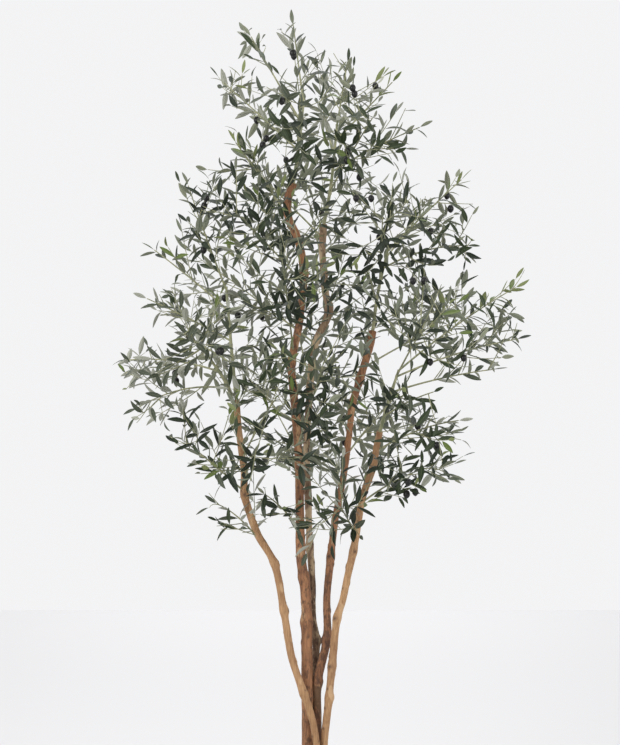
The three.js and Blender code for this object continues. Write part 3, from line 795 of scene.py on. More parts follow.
# %% Write down the outline and the gaps
OUTLINE = np.array([
    (-65, 2412), (-9, 2380), (-21, 2353), (12, 2324), (6, 2268), (94, 2306), (121, 2285),
    (103, 2244), (150, 2200), (204, 2232), (263, 2223), (239, 2173), (201, 2170), (171, 2102),
    (186, 2079), (227, 2073), (248, 2126), (286, 2105), (336, 2114), (324, 2082), (351, 2052),
    (324, 2055), (298, 1993), (266, 1976), (268, 1899), (339, 1896), (345, 1928), (395, 1931),
    (407, 1958), (431, 1931), (478, 1940), (451, 1896), (398, 1878), (425, 1825), (472, 1840),
    (478, 1810), (448, 1781), (478, 1678), (428, 1677), (425, 1627), (475, 1626), (477, 1589),
    (522, 1568), (555, 1574), (614, 1642), (605, 1604), (634, 1589), (569, 1527), (587, 1492),
    (620, 1498), (596, 1471), (625, 1412), (578, 1403), (552, 1362), (499, 1338), (490, 1297),
    (457, 1327), (392, 1288), (339, 1303), (342, 1238), (378, 1203), (454, 1202), (422, 1141),
    (466, 1108), (422, 1073), (437, 1026), (345, 1017), (339, 978), (289, 949), (183, 964),
    (168, 911), (136, 905), (106, 745), (-44, 742), (-56, 858), (-94, 916), (-171, 896),
    (-156, 807), (-212, 866), (-289, 869), (-298, 896), (-333, 902), (-351, 931), (-313, 943),
    (-322, 987), (-292, 949), (-242, 964), (-230, 993), (-351, 1046), (-460, 1197), (-546, 1188),
    (-531, 1209), (-555, 1241), (-522, 1229), (-490, 1262), (-572, 1288), (-560, 1327),
    (-599, 1388), (-560, 1386), (-510, 1430), (-445, 1403), (-395, 1436), (-410, 1489),
    (-478, 1495), (-463, 1530), (-537, 1568), (-466, 1563), (-434, 1598), (-392, 1589),
    (-386, 1642), (-413, 1686), (-519, 1710), (-451, 1737), (-440, 1781), (-372, 1828),
    (-369, 1866), (-395, 1881), (-407, 1928), (-289, 1961), (-263, 1937), (-236, 1949),
    (-263, 1996), (-224, 2067), (-263, 2085), (-251, 2120), (-313, 2203), (-307, 2235),
    (-274, 2217), (-248, 2247), (-204, 2203), (-165, 2244), (-215, 2282), (-195, 2306),
    (-224, 2365), (-189, 2344), (-162, 2362), (-136, 2324), (-94, 2371), (-109, 2403),
], float)
GAPS = np.array([
    # across, height, half the width, half the height
    (-303, 1220, 46, 32), (218, 1388, 35, 59), (15, 810, 24, 59), (-77, 987, 41, 41),
    (-112, 1029, 30, 32), (310, 1300, 41, 27), (206, 1931, 35, 32), (378, 1624, 44, 27),
    (-142, 2206, 32, 24), (136, 1745, 35, 30), (-118, 2297, 24, 35), (-186, 1223, 35, 24),
    (77, 790, 21, 38), (-91, 2262, 27, 24), (324, 1875, 27, 18), (-103, 1185, 27, 27),
    (263, 1368, 21, 27), (-236, 940, 15, 35), (133, 2194, 21, 21), (-30, 1781, 21, 21),
    (-233, 1442, 24, 18), (-115, 1967, 24, 24),
], float)
next_corners = np.roll(OUTLINE, -1, axis=0)
print(len(OUTLINE), "points on the outline and", len(GAPS), "gaps")

# %% See the crown as the camera does
CAMERA_AWAY = -CAMERA_PLACE[1] / MM
CAMERA_SPOT = np.array([CAMERA_PLACE[0], CAMERA_PLACE[2]]) / MM


def seen_from_front(points):
    """Where the camera sees a point, across and up in the plane of the poles."""
    return CAMERA_SPOT + (points[:, [0, 2]] - CAMERA_SPOT) * (
        CAMERA_AWAY / (CAMERA_AWAY + points[:, 1:2]))


def from_front(seen, depth):
    """The point at a depth that the camera sees at a place."""
    scale = ((CAMERA_AWAY + depth) / CAMERA_AWAY)[:, None]
    across, height = (CAMERA_SPOT + (seen - CAMERA_SPOT) * scale).T
    return np.stack([across, depth, height], 1)


def in_outline(seen):
    """True inside the outline: a level line from there crosses it an odd number of times."""
    across, height = seen.T[:, :, None]
    crosses = (OUTLINE[:, 1] > height) != (next_corners[:, 1] > height)
    slope = (next_corners[:, 0] - OUTLINE[:, 0]) / (next_corners[:, 1] - OUTLINE[:, 1])
    return (crosses & (across < OUTLINE[:, 0] + (height - OUTLINE[:, 1]) * slope)).sum(1) % 2 == 1


def in_gap(seen):
    return ((((seen[:, None] - GAPS[:, :2]) / GAPS[:, 2:]) ** 2).sum(2) < 1).any(1)


print("the camera is", CAMERA_AWAY, "mm away from the poles")

# %% [markdown]
# ## Directions round a twig
# Sprigs and leaves lean out from what carries them, at any turn about it. Angles about the world's
# axes would mean something else on every twig, so each twig gets two directions square to its own,
# one of them level, and a turn is counted from those. Only for a twig that stands exactly upright
# there is no such level direction, and none of these does.

# %% Turn directions about a twig
def framing(along, roll):
    """Two directions square to a twig, rolled about it by a part of a turn."""
    side = unit(np.cross(UP, along))
    face = np.cross(along, side)
    cos, sin = math.cos(2 * math.pi * roll), math.sin(2 * math.pi * roll)
    return side * cos + face * sin, face * cos - side * sin


def leaning(along, roll, turn, lean):
    """The direction that leans out from a twig on the side given by a turn about it."""
    side, face = framing(along, roll)
    outward = side * math.cos(turn) + face * math.sin(turn)
    return along * math.cos(lean) + outward * math.sin(lean)


def place_on_line(points, share):
    """The point at a share of the way along some points, and the heading there."""
    step = min(int(share * (len(points) - 1)), len(points) - 2)
    a, b = points[step], points[step + 1]
    return lerp(a, b, share * (len(points) - 1) - step), unit(b - a)


print("a level twig's first side points to", framing(np.array([1.0, 0, 0]), 0)[0])

# %% [markdown]
# ## Growing a spray
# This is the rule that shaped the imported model, written again so that each sprig lies where its
# solid is. Sprigs sit at even places on the outer part of the stalk. Each tries three directions,
# takes the one in which it can grow longest, and is cut back until the leaf at its tip fits the
# spray's own space.

# %% Grow stalks and sprigs
SAMPLES = np.array([0.15, 0.3, 0.45, 0.6, 0.8, 1])  # where along a leaf its room is tested
LEAF_WIDTH = 28
LEAF_WIDEST = 0.4
TIP_LEAF = 44
FIRST_FLAT = 30
FLATS = 3
CURVE_POINTS = 7


def lifted(root, direction, lengths, reach):
    """Points along a sprig, which curves up a little as it goes."""
    lengths = np.asarray(lengths)[:, None]
    return root + direction * lengths + UP * SPRIG_LIFT * lengths**2 / reach


class Spray:
    """A bowed stalk with sprigs, which keeps to its own space."""

    def __init__(self, name, on, socket, tip, bow, size, seed):
        self.name, self.size, self.seed = name, size, seed
        root = point_at_height(limb_paths[on], socket)
        end = np.array(tip, float)
        self.bow = [root, lerp(root, end, 0.5) + UP * bow, end]
        shares = np.linspace(0, 1, PATH_DIVISIONS + 1)
        self.length = np.linalg.norm(np.diff(self.on_bow(shares), axis=0), axis=1).sum()
        self.stalk = self.on_bow(np.linspace(0, 1 - LEAF_LENGTH / self.length, STALK_STEPS + 1))
        self.path = np.vstack([self.stalk, end])
        self.roll = chance(seed, 100.3)

    def on_bow(self, shares):
        a, b, c = self.bow
        t = np.asarray(shares)[:, None]
        return (1 - t) ** 2 * a + 2 * t * (1 - t) * b + t**2 * c

    def owns(self, points, reach):
        """True where a ball at the point is in this spray's own space, clear of the limbs."""
        own = distances(points, self.path[:-1], self.path[1:]).min(1)
        other = distances(points, *other_stalks[self.name]).min(1)
        return (other - own > 2 * reach + SPARE) & clear_of_limbs(points, reach)

    def sprig(self, place):
        """The points of a sprig's middle line, or None where there is no room for it."""
        t = lerp(FIRST_SPRIG, LAST_SPRIG, (place + 0.5) / SPRIG_PLACES)
        root, along = place_on_line(self.stalk, t)
        lean = math.radians(pick(SPRIG_LEAN, self.seed, place + 20))
        leaf = LEAF_LENGTH * pick(LEAF_VARIETY, self.seed, 200 + place)
        reach = SPRIG_LENGTH * self.size * lerp(*SPRIG_TAPER, t)
        reach *= pick(SPRIG_VARIETY, self.seed, place + 40)
        lengths = np.arange(reach - leaf, SHORTEST_SPRIG - 0.001, -SHORTEST_SPRIG / 3)
        if not len(lengths):
            return None
        best = (0, None, None)
        for flat in range(FLATS):
            turn = math.radians(FIRST_FLAT + 360 / FLATS * (place + flat))
            direction = leaning(along, self.roll, turn, lean)
            ends = lifted(root, direction, lengths, reach)
            halves = lifted(root, direction, lengths / 2, reach)
            headings = (ends - halves) / np.linalg.norm(ends - halves, axis=1)[:, None]
            tips = ends[:, None] + headings[:, None] * (SAMPLES * leaf)[None, :, None]
            taper = np.minimum(SAMPLES / LEAF_WIDEST, (1 - SAMPLES) / (1 - LEAF_WIDEST))
            room = self.owns(tips.reshape(-1, 3), np.tile(taper * LEAF_WIDTH / 2, len(lengths)))
            fits = room.reshape(len(lengths), -1).all(1)
            if fits.any() and lengths[fits.argmax()] > best[0]:
                best = (lengths[fits.argmax()], direction, headings[fits.argmax()])
        length, direction, heading = best
        if not length:
            return None
        curve = lifted(root, direction, np.linspace(0, length, CURVE_POINTS), reach)
        return np.vstack([curve, curve[-1] + heading * (leaf - TIP_LEAF)])


print("a sprig tries", FLATS, "directions")

# %% Let the sprays know their neighbours
sprays = [Spray(name, *row) for name, row in FOLIAGE.items()]
other_stalks = {}
for spray in sprays:
    others = [other.path for other in sprays if other is not spray]
    other_stalks[spray.name] = (
        np.concatenate([path[:-1] for path in others]), np.concatenate([path[1:] for path in others]))
print(len(sprays), "sprays know their neighbours")

# %% [markdown]
# ## Finer twigs
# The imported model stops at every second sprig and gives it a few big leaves. A real spray goes on
# to finer twigs. Copies of one finished twig would be quicker, but they would repeat and cross.
# So the same rule is carried on: a shoot tries several directions from its place and takes the
# one in which it can grow longest. What it must keep clear of is now all that has grown before
# it, so the twigs share out the room in the crown, as they do on a living tree.

# %% Keep track of the room that is taken
FAR_ENOUGH = 150
DEPTH_COUNTS = 0.6


class Crowd:
    """Places that are taken, so that what comes next can keep its distance.

    A distance to the front or back counts for less, so that fewer twigs hide one another."""

    def __init__(self, most):
        self.places = np.empty((most, 3))
        self.count = 0

    def take(self, points):
        self.places[self.count:self.count + len(points)] = points
        self.count += len(points)

    def nearest(self, points):
        """How far each point is from the nearest taken place."""
        taken = self.places[:self.count]
        low, top = points.min(0) - FAR_ENOUGH, points.max(0) + FAR_ENOUGH
        taken = taken[((taken > low) & (taken < top)).all(1)]
        if not len(taken):
            return np.full(len(points), FAR_ENOUGH)
        offset = (points[:, None] - taken) * (1, DEPTH_COUNTS, 1)
        return np.sqrt(np.einsum("ijk,ijk->ij", offset, offset).min(1))


twig_crowd = Crowd(40000)
print("room for", len(twig_crowd.places), "places along the twigs")

# %% Say where a leaf's tip may be
OUTLINE_EASE = 15
OUTSIDE_BOX = np.array([8, 8, 20])


def within_box(points):
    """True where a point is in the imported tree's box, or just outside it."""
    low, top = np.array(cad_box) / MM
    return ((points > low - OUTSIDE_BOX) & (points < top + OUTSIDE_BOX)).all(1)


def open_to(points, ease=OUTLINE_EASE):
    """True where a leaf's tip may be: in the crown's outline or close to it, and in the box."""
    seen = seen_from_front(points)
    close = distances(seen, OUTLINE, next_corners).min(1) < ease
    return (in_outline(seen) | close) & ~in_gap(seen) & within_box(points)


print("tips may be", OUTLINE_EASE, "mm outside the outline")

# %% [markdown]
# ## Thin and dense places
# A crown isn't even: it is bare near the limbs, and some parts are fuller than others. One
# spacing for all twigs would make a hedge of it, and moving twigs by hand would undo the rule. So
# the spacing is multiplied by a soft hill or hollow round each of these places, as seen from the
# front. Many of the places are where the render and the photograph differ in how much of them is
# covered. Another program compared how much of the render and of the photograph is covered, and
# printed where they differ. The reaches and the amounts were set and tried, over several rounds.

# %% Write down the thin and dense places
THIN_INSIDE = 1.6
THIN_TO = 260
LOOSE_PLACES = [
    # across, height, reach, how much is added to the spacing
    (-165, 1625, 110, 0.45), (318, 1721, 90, 0.5), (401, 1400, 90, 0.5), (-360, 1385, 100, 0.8),
    (-455, 1335, 55, 1), (-35, 1368, 55, 0.6), (-174, 1840, 90, 0.2), (-350, 1780, 80, 0.4),
    (-95, 1520, 80, 0.4), (132, 1279, 90, 0.3), (-168, 2096, 90, 0.4), (221, 1718, 60, 0.3),
    (-10, 1688, 55, 0.5), (20, 2140, 90, 0.3), (200, 2030, 90, 0.4), (153, 1138, 60, 1.3),
    (-150, 1040, 110, 0.3), (11, 1240, 55, 0.8), (330, 1158, 60, 0.5), (303, 1441, 60, 0.3),
    (377, 1801, 60, 0.5), (-220, 1904, 70, 0.4), (-260, 1250, 60, -0.8), (-88, 2215, 35, 0.4),
    (-64, 1058, 60, -0.7), (-5, 889, 60, -0.6), (-490, 1220, 60, -0.5), (200, 2220, 60, -0.4),
    (-450, 1775, 45, -0.5), (94, 2090, 50, -0.3), (-250, 2220, 60, -0.6), (442, 1760, 40, -0.2),
    (47, 1140, 50, -0.4), (-5, 1606, 50, -0.2), (147, 1550, 55, -0.2), (44, 1335, 50, -0.2),
    (333, 1530, 60, -0.3), (-85, 2025, 50, -0.4), (-241, 1350, 55, -0.4), (-138, 1317, 50, -0.3),
    (-47, 1910, 55, -0.3), (197, 1052, 60, -0.4), (-400, 1368, 60, 0.8), (-469, 1246, 50, 0.5),
    (-26, 1494, 50, 0.5), (-26, 1713, 50, 0.4), (-50, 1120, 50, 0.4), (442, 1530, 55, 0.4),
    (-194, 1155, 55, 0.4), (-230, 2155, 50, 0.5), (297, 1444, 50, 0.3), (-380, 1550, 50, 0.4),
    (209, 2031, 50, 0.4), (-8, 1606, 45, -0.3), (244, 1140, 50, -0.25), (85, 1618, 45, -0.4),
    (44, 1326, 50, -0.2), (177, 1066, 45, -0.2), (147, 1509, 50, -0.35), (-41, 1261, 50, -0.15),
    (97, 1957, 45, -0.4), (-174, 1842, 45, -0.2), (5, 1934, 50, -0.2), (147, 1214, 50, -0.4),
    (-268, 1494, 50, -0.4), (-62, 1745, 45, -0.5), (35, 1540, 42, 0.7), (-30, 1650, 45, -0.3),
    (-188, 2310, 45, -0.5), (-75, 2303, 45, 0.5), (-531, 1235, 40, 0.6), (88, 1418, 45, 0.4),
    (0, 1860, 45, 0.4), (-442, 1418, 40, 0.5), (-265, 975, 40, 0.4), (177, 1949, 40, -0.3),
    (88, 2215, 40, -0.3), (-375, 1430, 45, 0.5), (177, 2126, 40, 0.4), (-545, 1335, 40, -0.5),
    (-442, 1240, 40, 0.4), (-442, 1683, 40, 0.5), (88, 975, 40, 0.4), (60, 1060, 50, -0.3),
    (310, 1600, 45, -0.4), (354, 1064, 45, -0.3), (354, 1860, 40, 0.3), (-40, 2385, 35, -0.6),
]


def looseness(points):
    """What spacings are multiplied by: a crown is thinner near its limbs, and in some places."""
    inside = distances(points, limb_starts, limb_ends).min(1) / THIN_TO
    loose = lerp(THIN_INSIDE, 1, np.clip(inside, 0, 1))
    seen = seen_from_front(points)
    for across, height, reach, more in LOOSE_PLACES:
        loose *= 1 + more * np.exp(-((seen - (across, height)) ** 2).sum(1) / reach**2)
    return loose


print(len(LOOSE_PLACES), "places are thinner or denser")

# %% Let shoots find room
SHOOT_TRIES = 6
SHOOT_LEAN = (34, 66)
SHOOT_STEP = 16
MIDDLE = 0.6
MIDDLE_SPACING = 0.75
END_OFF_LIMB = 10
TIP_OFF_LIMB = 6


def shoot(seed, root, along, place, reach, shortest, spacing):
    """The longest twig that finds room round a point and leans out from a heading, or None."""
    lengths = np.arange(reach, shortest, -SHOOT_STEP)
    best = (0, None)
    for i in range(SHOOT_TRIES):
        turn = 2 * math.pi * (chance(seed, place) + i / SHOOT_TRIES)
        direction = leaning(along, 0, turn, math.radians(pick(SHOOT_LEAN, seed, place + 0.1 * i)))
        ends, middles, tips = (
            lifted(root, direction, some, reach)
            for some in (lengths, MIDDLE * lengths, lengths + TIP_LEAF))
        fits = (lengths > best[0]) & open_to(tips) & clear_of_limbs(tips, TIP_OFF_LIMB)
        fits &= ~in_gap(seen_from_front(ends)) & ~in_gap(seen_from_front(middles))
        for points, share in (ends, 1), (middles, MIDDLE_SPACING):
            if fits.any():
                apart = spacing * share * looseness(points[fits])
                fits[fits] = twig_crowd.nearest(points[fits]) > apart
        fits[fits] = clear_of_limbs(ends[fits], END_OFF_LIMB) if fits.any() else False
        if fits.any():
            best = (lengths[fits.argmax()], direction)
    if not best[0]:
        return None
    return lifted(root, best[1], np.linspace(0, best[0], CURVE_POINTS), reach)


print("a shoot tries", SHOOT_TRIES, "directions")

# %% Walk along a twig
def along_line(line, distances_along):
    """Points and headings at distances along a line of points, and its length."""
    steps = np.diff(line, axis=0)
    lengths = np.r_[0, np.cumsum(np.linalg.norm(steps, axis=1))]
    points = np.array([np.interp(distances_along, lengths, line[:, i]) for i in range(3)]).T
    index = np.clip(np.searchsorted(lengths, distances_along, side="right") - 1, 0, len(steps) - 1)
    return points, steps[index] / np.linalg.norm(steps[index], axis=1)[:, None], lengths[-1]


def length_of(line):
    return along_line(line, np.zeros(1))[2] if len(line) > 1 else 0


print("the main stem is", round(length_of(limb_paths["stem_main"])), "mm long")

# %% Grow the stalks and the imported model's sprigs
SHORTEST_TWIG = 36
CROWD_EVERY = 14
TWIG_EASE = 6
STALK_POINTS = 13
FIRST_PLACE = {  # where each kind starts to count, so that no two draw the same chances
    "stalk": 100, "sprig": 200, "stalk shoot": 250, "limb shoot": 300, "tip": 400,
}

twigs = []


def grow(seed, kind, place, line, whole=False):
    """Adds a twig, cut where it would leave the outline, and takes its places in the crowd."""
    if line is None:
        return
    inside = open_to(line, TWIG_EASE)
    if not whole and not inside.all():
        line = line[:max(int(np.argmin(inside)), 1)]
    total = length_of(line)
    if total > SHORTEST_TWIG:
        twig_crowd.take(along_line(line, np.arange(0, total, CROWD_EVERY))[0])
        twigs.append({"seed": seed, "kind": kind, "place": place, "line": line, "length": total})


for spray in sprays:
    line = spray.on_bow(np.linspace(0, 1 - TIP_LEAF / spray.length, STALK_POINTS))
    grow(spray.seed, "stalk", FIRST_PLACE["stalk"], line, whole=True)
stalks = [(twig["seed"], twig["line"]) for twig in twigs]
for spray in sprays:
    for place in range(0, SPRIG_PLACES, 2):
        grow(spray.seed, "sprig", FIRST_PLACE["sprig"] + place, spray.sprig(place))
print(len(stalks), "stalks and", len(twigs) - len(stalks), "sprigs")

# %% [markdown]
# ## Twigs for the sharp tips
# The photograph's outline runs out to a sharp tip wherever a single twig stands out. The rule
# alone would round these off. So a tip that no twig comes near gets one of its own, which leaves
# the nearest twig in its direction and bends towards the tip.

# %% Reach for the outline's tips
SHARPEST_CORNER = math.radians(92)
TIP_REACHED = 48
LONGEST_TIP_TWIG = 260
ROOT_CLEAR = 20
STRAIGHT_ENOUGH = 0.3
TURN_COST = 1.7
TOO_DEAR = 1e4
TIP_LEAF_SHARE = 0.9
BOW_SHARE = 0.35
FIRST_TIP_SEED = 120


def outline_tips():
    """The outline's sharp outward corners, where the photograph shows the tip of a twig."""
    before, after = np.roll(OUTLINE, 1, axis=0) - OUTLINE, next_corners - OUTLINE
    inside = (before * after).sum(1) / np.linalg.norm(before, axis=1) / np.linalg.norm(after, axis=1)
    outward = before[:, 0] * after[:, 1] > before[:, 1] * after[:, 0]
    return OUTLINE[outward & (inside > math.cos(SHARPEST_CORNER))]


def twig_to(tip):
    """A twig from the best place so far to a tip, or None where one is there or none can reach."""
    places = [
        along_line(twig["line"], np.arange(ROOT_CLEAR, twig["length"], CROWD_EVERY))[:2]
        for twig in twigs]
    roots, headings = (np.concatenate(parts) for parts in zip(*places))
    if np.linalg.norm(seen_from_front(roots) - tip, axis=1).min() < TIP_REACHED:
        return None
    ways = from_front(tip, roots[:, 1]) - roots
    lengths = np.linalg.norm(ways, axis=1)
    straight = (ways * headings).sum(1) / lengths
    barred = (straight < STRAIGHT_ENOUGH) | (lengths > LONGEST_TIP_TWIG)
    cost = lengths * (TURN_COST - straight) + TOO_DEAR * barred
    best = int(cost.argmin())
    if cost[best] >= TOO_DEAR:
        return None
    root = roots[best]
    end = root + ways[best] * (1 - TIP_LEAF_SHARE * TIP_LEAF / lengths[best])
    bow = root + headings[best] * BOW_SHARE * lengths[best]
    t = np.linspace(0, 1, 9)[:, None]
    return (1 - t) ** 2 * root + 2 * t * (1 - t) * bow + t**2 * end


rule_twigs = len(twigs)
for number, tip in enumerate(outline_tips()):
    grow(FIRST_TIP_SEED + number, "sprig", FIRST_PLACE["tip"], twig_to(tip), whole=True)
print(len(twigs) - rule_twigs, "twigs for", len(outline_tips()), "tips")

# %% Fill the crown with shoots
STALK_SHOOTS = np.arange(0.96, 0.2, -0.06)
STALK_SHOOT_REACH = (230, 120)
STALK_SHOOT_SPACING = 51.7
SHORTEST_STALK_SHOOT = 70
SHOOTS_FROM = 1030
LIMB_SHOOT_EVERY = 52
LIMB_SHOOT_REACH = (150, 250)
LIMB_SHOOT_SPACING = 63.5
SHORTEST_LIMB_SHOOT = 80
FIRST_LIMB_SEED = 71

for number, share in enumerate(STALK_SHOOTS):
    here = FIRST_PLACE["stalk shoot"] + number
    for seed, line in stalks:
        root, along = place_on_line(line, share)
        reach = lerp(*STALK_SHOOT_REACH, share) * pick(SPRIG_VARIETY, seed, number)
        grow(seed, "sprig", here, shoot(
            seed, root, along, here, reach, SHORTEST_STALK_SHOOT, STALK_SHOOT_SPACING))
for seed, path in enumerate(limb_paths.values(), FIRST_LIMB_SEED):
    path = path[path[:, 2] > SHOOTS_FROM]
    shoots = int(length_of(path) / LIMB_SHOOT_EVERY)
    for i in range(shoots):
        root, along = place_on_line(path, (i + 0.5) / shoots)
        reach = pick(LIMB_SHOOT_REACH, seed, i)
        here = FIRST_PLACE["limb shoot"] + i
        grow(seed, "sprig", here, shoot(
            seed, root, along, here, reach, SHORTEST_LIMB_SHOOT, LIMB_SHOOT_SPACING))
print(sum(twig["kind"] == "sprig" for twig in twigs), "sprigs now")

# %% Grow the side twigs
SIDE_TWIGS = (0.26, 0.5, 0.74)
SIDE_TWIG_REACH = (64, 108)
SIDE_TWIG_SPACING = 43.8
SHORTEST_SIDE_TWIG = 44
LONG_ENOUGH = 80

for twig in [twig for twig in twigs if twig["length"] > LONG_ENOUGH]:
    for number, share in enumerate(SIDE_TWIGS):
        root, along = place_on_line(twig["line"], share)
        here = twig["place"] + 30 + 20 * number
        reach = pick(SIDE_TWIG_REACH, twig["seed"], here)
        grow(twig["seed"], "side", here, shoot(
            twig["seed"], root, along, here, reach, SHORTEST_SIDE_TWIG, SIDE_TWIG_SPACING))
print({kind: sum(twig["kind"] == kind for twig in twigs) for kind in ("stalk", "sprig", "side")})

# %% [markdown]
# ## One leaf
# An olive leaf is narrow, with a rib, and paler below. A flat picture of one is often used, but it
# has no thickness and shows from the side. So one leaf is shaped from a flat grid, and all others
# are its copies: rows of points are drawn in or out to the outline, the ends are merged into a
# stalk and a tip, and the middle strip is lifted as a rib. A mirrored copy underneath closes the
# shape, so the leaf is thin but solid, with an upper and a lower face for two different greens.

# %% Shape one leaf
LEAF_ROWS = (0, 0.08, 0.2, 0.38, 0.58, 0.78, 0.93, 1)
LEAF_OUTLINE = (0, 0.1, 0.52, 0.92, 1, 0.74, 0.34, 0)
RIB_SHARE = 0.05
HALF_THICKNESS = 0.006
ASIDE = 10  # rows that are done stand aside, so that the next test doesn't find them


def select_points(mesh_object, wanted):
    """In edit mode, selects the points for which a test on their place is true."""
    bpy.ops.object.mode_set(mode="OBJECT")
    for part in (mesh_object.data.polygons, mesh_object.data.edges):
        part.foreach_set("select", [False] * len(part))
    chosen = [bool(wanted(point.co)) for point in mesh_object.data.vertices]
    mesh_object.data.vertices.foreach_set("select", chosen)
    bpy.ops.object.mode_set(mode="EDIT")
    bpy.ops.mesh.select_mode(type="VERT")


def shape_of(model):
    """The points and faces of a finished model, which is then removed."""
    bpy.ops.object.mode_set(mode="OBJECT")
    points, faces = points_of(model), [list(face.vertices) for face in model.data.polygons]
    bpy.data.objects.remove(model)
    return points, faces


deselect_all()
bpy.ops.mesh.primitive_grid_add(x_subdivisions=len(LEAF_ROWS) - 1, y_subdivisions=3, size=2)
leaf_model = bpy.context.object
grid_rows = np.linspace(-1, 1, len(LEAF_ROWS))
for row, (where, width) in enumerate(zip(LEAF_ROWS, LEAF_OUTLINE)):
    select_points(leaf_model, lambda co, x=grid_rows[row]: abs(co.x - x) < 0.01 and abs(co.y) < 0.5)
    bpy.ops.transform.resize(value=(1, 3 * RIB_SHARE, 1), center_override=(0, 0, 0))
    if 0 < row < len(LEAF_ROWS) - 1:
        bpy.ops.transform.translate(value=(0, 0, HALF_THICKNESS))
    select_points(leaf_model, lambda co, x=grid_rows[row]: abs(co.x - x) < 0.01)
    bpy.ops.transform.resize(value=(1, max(width, 0.001), 1), center_override=(0, 0, 0))
    bpy.ops.transform.translate(value=(ASIDE + where - grid_rows[row], 0, 0))
bpy.ops.mesh.select_all(action="SELECT")
bpy.ops.transform.translate(value=(-ASIDE, 0, 0))
bpy.ops.mesh.duplicate()
bpy.ops.transform.resize(value=(1, 1, -1), center_override=(0, 0, 0))
bpy.ops.mesh.flip_normals()
bpy.ops.mesh.select_all(action="SELECT")
bpy.ops.mesh.remove_doubles(threshold=0.003)
bpy.ops.object.mode_set(mode="OBJECT")
face_middles = np.array([face.center[:] for face in leaf_model.data.polygons])
face_upper = np.array([face.normal.z > 0 for face in leaf_model.data.polygons])
on_rib = np.abs(face_middles[:, 1]) < 0.6 * RIB_SHARE * np.interp(
    face_middles[:, 0], LEAF_ROWS, LEAF_OUTLINE)
leaf_slots = np.where(on_rib, 2, np.where(face_upper, 0, 1))
leaf_shape, leaf_faces = shape_of(leaf_model)
print("a leaf has", len(leaf_shape), "points and", len(leaf_faces), "faces")

# %% [markdown]
# ## Where the leaves go
# On an olive twig leaves stand in pairs, each pair turned a quarter from the one before. They
# lean forward, their upper faces look to the sky and to the twig's tip, and they are small and
# young where the twig ends. A particle system could strew leaves, but it knows nothing of pairs
# or of neighbours, so they are set one by one. A leaf is left out where another has its room, and
# outside the outline or in a gap. The lists of places say where the photograph has yellow-green
# tips and where its sprays look paler or darker. That is partly the sprays' own tone and partly
# painted shade in the crown's middle and painted light at its edges. Many of these places, and
# nearly all of the yellow-green ones, are middles of squares in which another program measured the
# photograph's colours. The reaches and pushes were set.

# %% Write down the shades
SHADES = ("deep", "green", "grey", "young")
DEEP_BELOW = 0.42
GREY_ABOVE = 0.76
TONE_AND_PAINTED_LIGHT_PLACES = [
    # across, height, reach, push towards grey; the pushes give sprays their own tone and also paint
    # shade into the crown's middle and light onto its edges
    (150, 2045, 150, 0.5), (-300, 1500, 190, 0.5), (340, 1390, 130, 0.6), (-420, 1330, 120, 0.3),
    (60, 1780, 110, -0.1), (30, 1420, 210, -0.3), (390, 1530, 130, -1), (-300, 1110, 150, -0.2),
    (260, 1110, 190, -0.3), (-190, 1800, 140, -0.3), (240, 1700, 120, -0.35), (139, 1374, 100, -0.6),
    (139, 1138, 90, -0.3), (-40, 1635, 90, -0.8), (-286, 1620, 80, -0.3), (-499, 1374, 90, 0.4),
    (-487, 1211, 80, 0.7), (-290, 940, 90, 1.2), (139, 1610, 80, -0.2), (-74, 2082, 80, 0.2),
    (-74, 1846, 80, -0.2), (236, 1480, 90, -0.6), (300, 1310, 90, 0.8), (383, 1180, 70, 0.7),
    (-59, 880, 60, 0.5), (236, 2067, 70, 0.8), (-480, 1330, 70, 0.6), (88, 1772, 70, -0.4),
    (88, 1480, 70, -0.4), (-59, 1040, 70, -0.3), (88, 1035, 60, 0.3),
]
FRESH_PLACES = np.array([
    (103, 1639), (398, 1521), (398, 1462), (280, 1285), (-251, 1698), (-74, 1875), (-428, 1698),
    (-133, 1285), (575, 1580), (-74, 1420), (44, 1698), (-133, 2111), (398, 1108), (-310, 1078),
    (103, 1049), (457, 1757), (-15, 1639), (-251, 1226), (44, 2170), (221, 2200), (-251, 1993),
    (-74, 931), (162, 990),
])
FRESH_REACH = 38
FRESH_SHARE = 0.07


def shade_of_twig(twig):
    """Deep, green or grey, by where the twig is seen, which paints shade and light into the crown, and
    a little by chance.
    """
    seen = seen_from_front(twig["line"].mean(0)[None])[0]
    look = chance(twig["seed"], 510 + twig["place"])
    for across, height, reach, push in TONE_AND_PAINTED_LIGHT_PLACES:
        near = math.hypot(seen[0] - across, seen[1] - height) / reach
        look += push * math.exp(-near**2)
    return "deep" if look < DEEP_BELOW else "green" if look < GREY_ABOVE else "grey"


def is_fresh(twig):
    """True where the photograph shows a yellow-green tip, and by chance at a few more."""
    miss = np.linalg.norm(FRESH_PLACES - seen_from_front(twig["line"][-1:]), axis=1)
    return miss.min() < FRESH_REACH or chance(twig["seed"], twig["place"] + 0.7) < FRESH_SHARE


print(sum(is_fresh(twig) for twig in twigs), "twigs have a yellow-green tip")

# %% List the leaves that a twig could have
LEAF_SIZE = 64
LEAF_SIZES = (0.84, 1.12)
FIRST_PAIR_SIZE = 0.85
PAIR_EVERY = 37
BARE_SPRIG = 22
BARE_STALK = 0.45
BARE_END = 8
MISSING_SHARE = 0.05
LEAF_LEAN = (40, 74)
YOUNG_END = 0.3
TIP_LEANS = (6, 24, 24)
TIP_SIZES = (1, 0.8, 0.8)
TIP_TURN = 2.2


def pairs_along(twig):
    """How far along a twig its pairs of leaves sit."""
    first = BARE_STALK * twig["length"] if twig["kind"] == "stalk" else BARE_SPRIG
    return np.arange(first, twig["length"] - BARE_END, PAIR_EVERY)


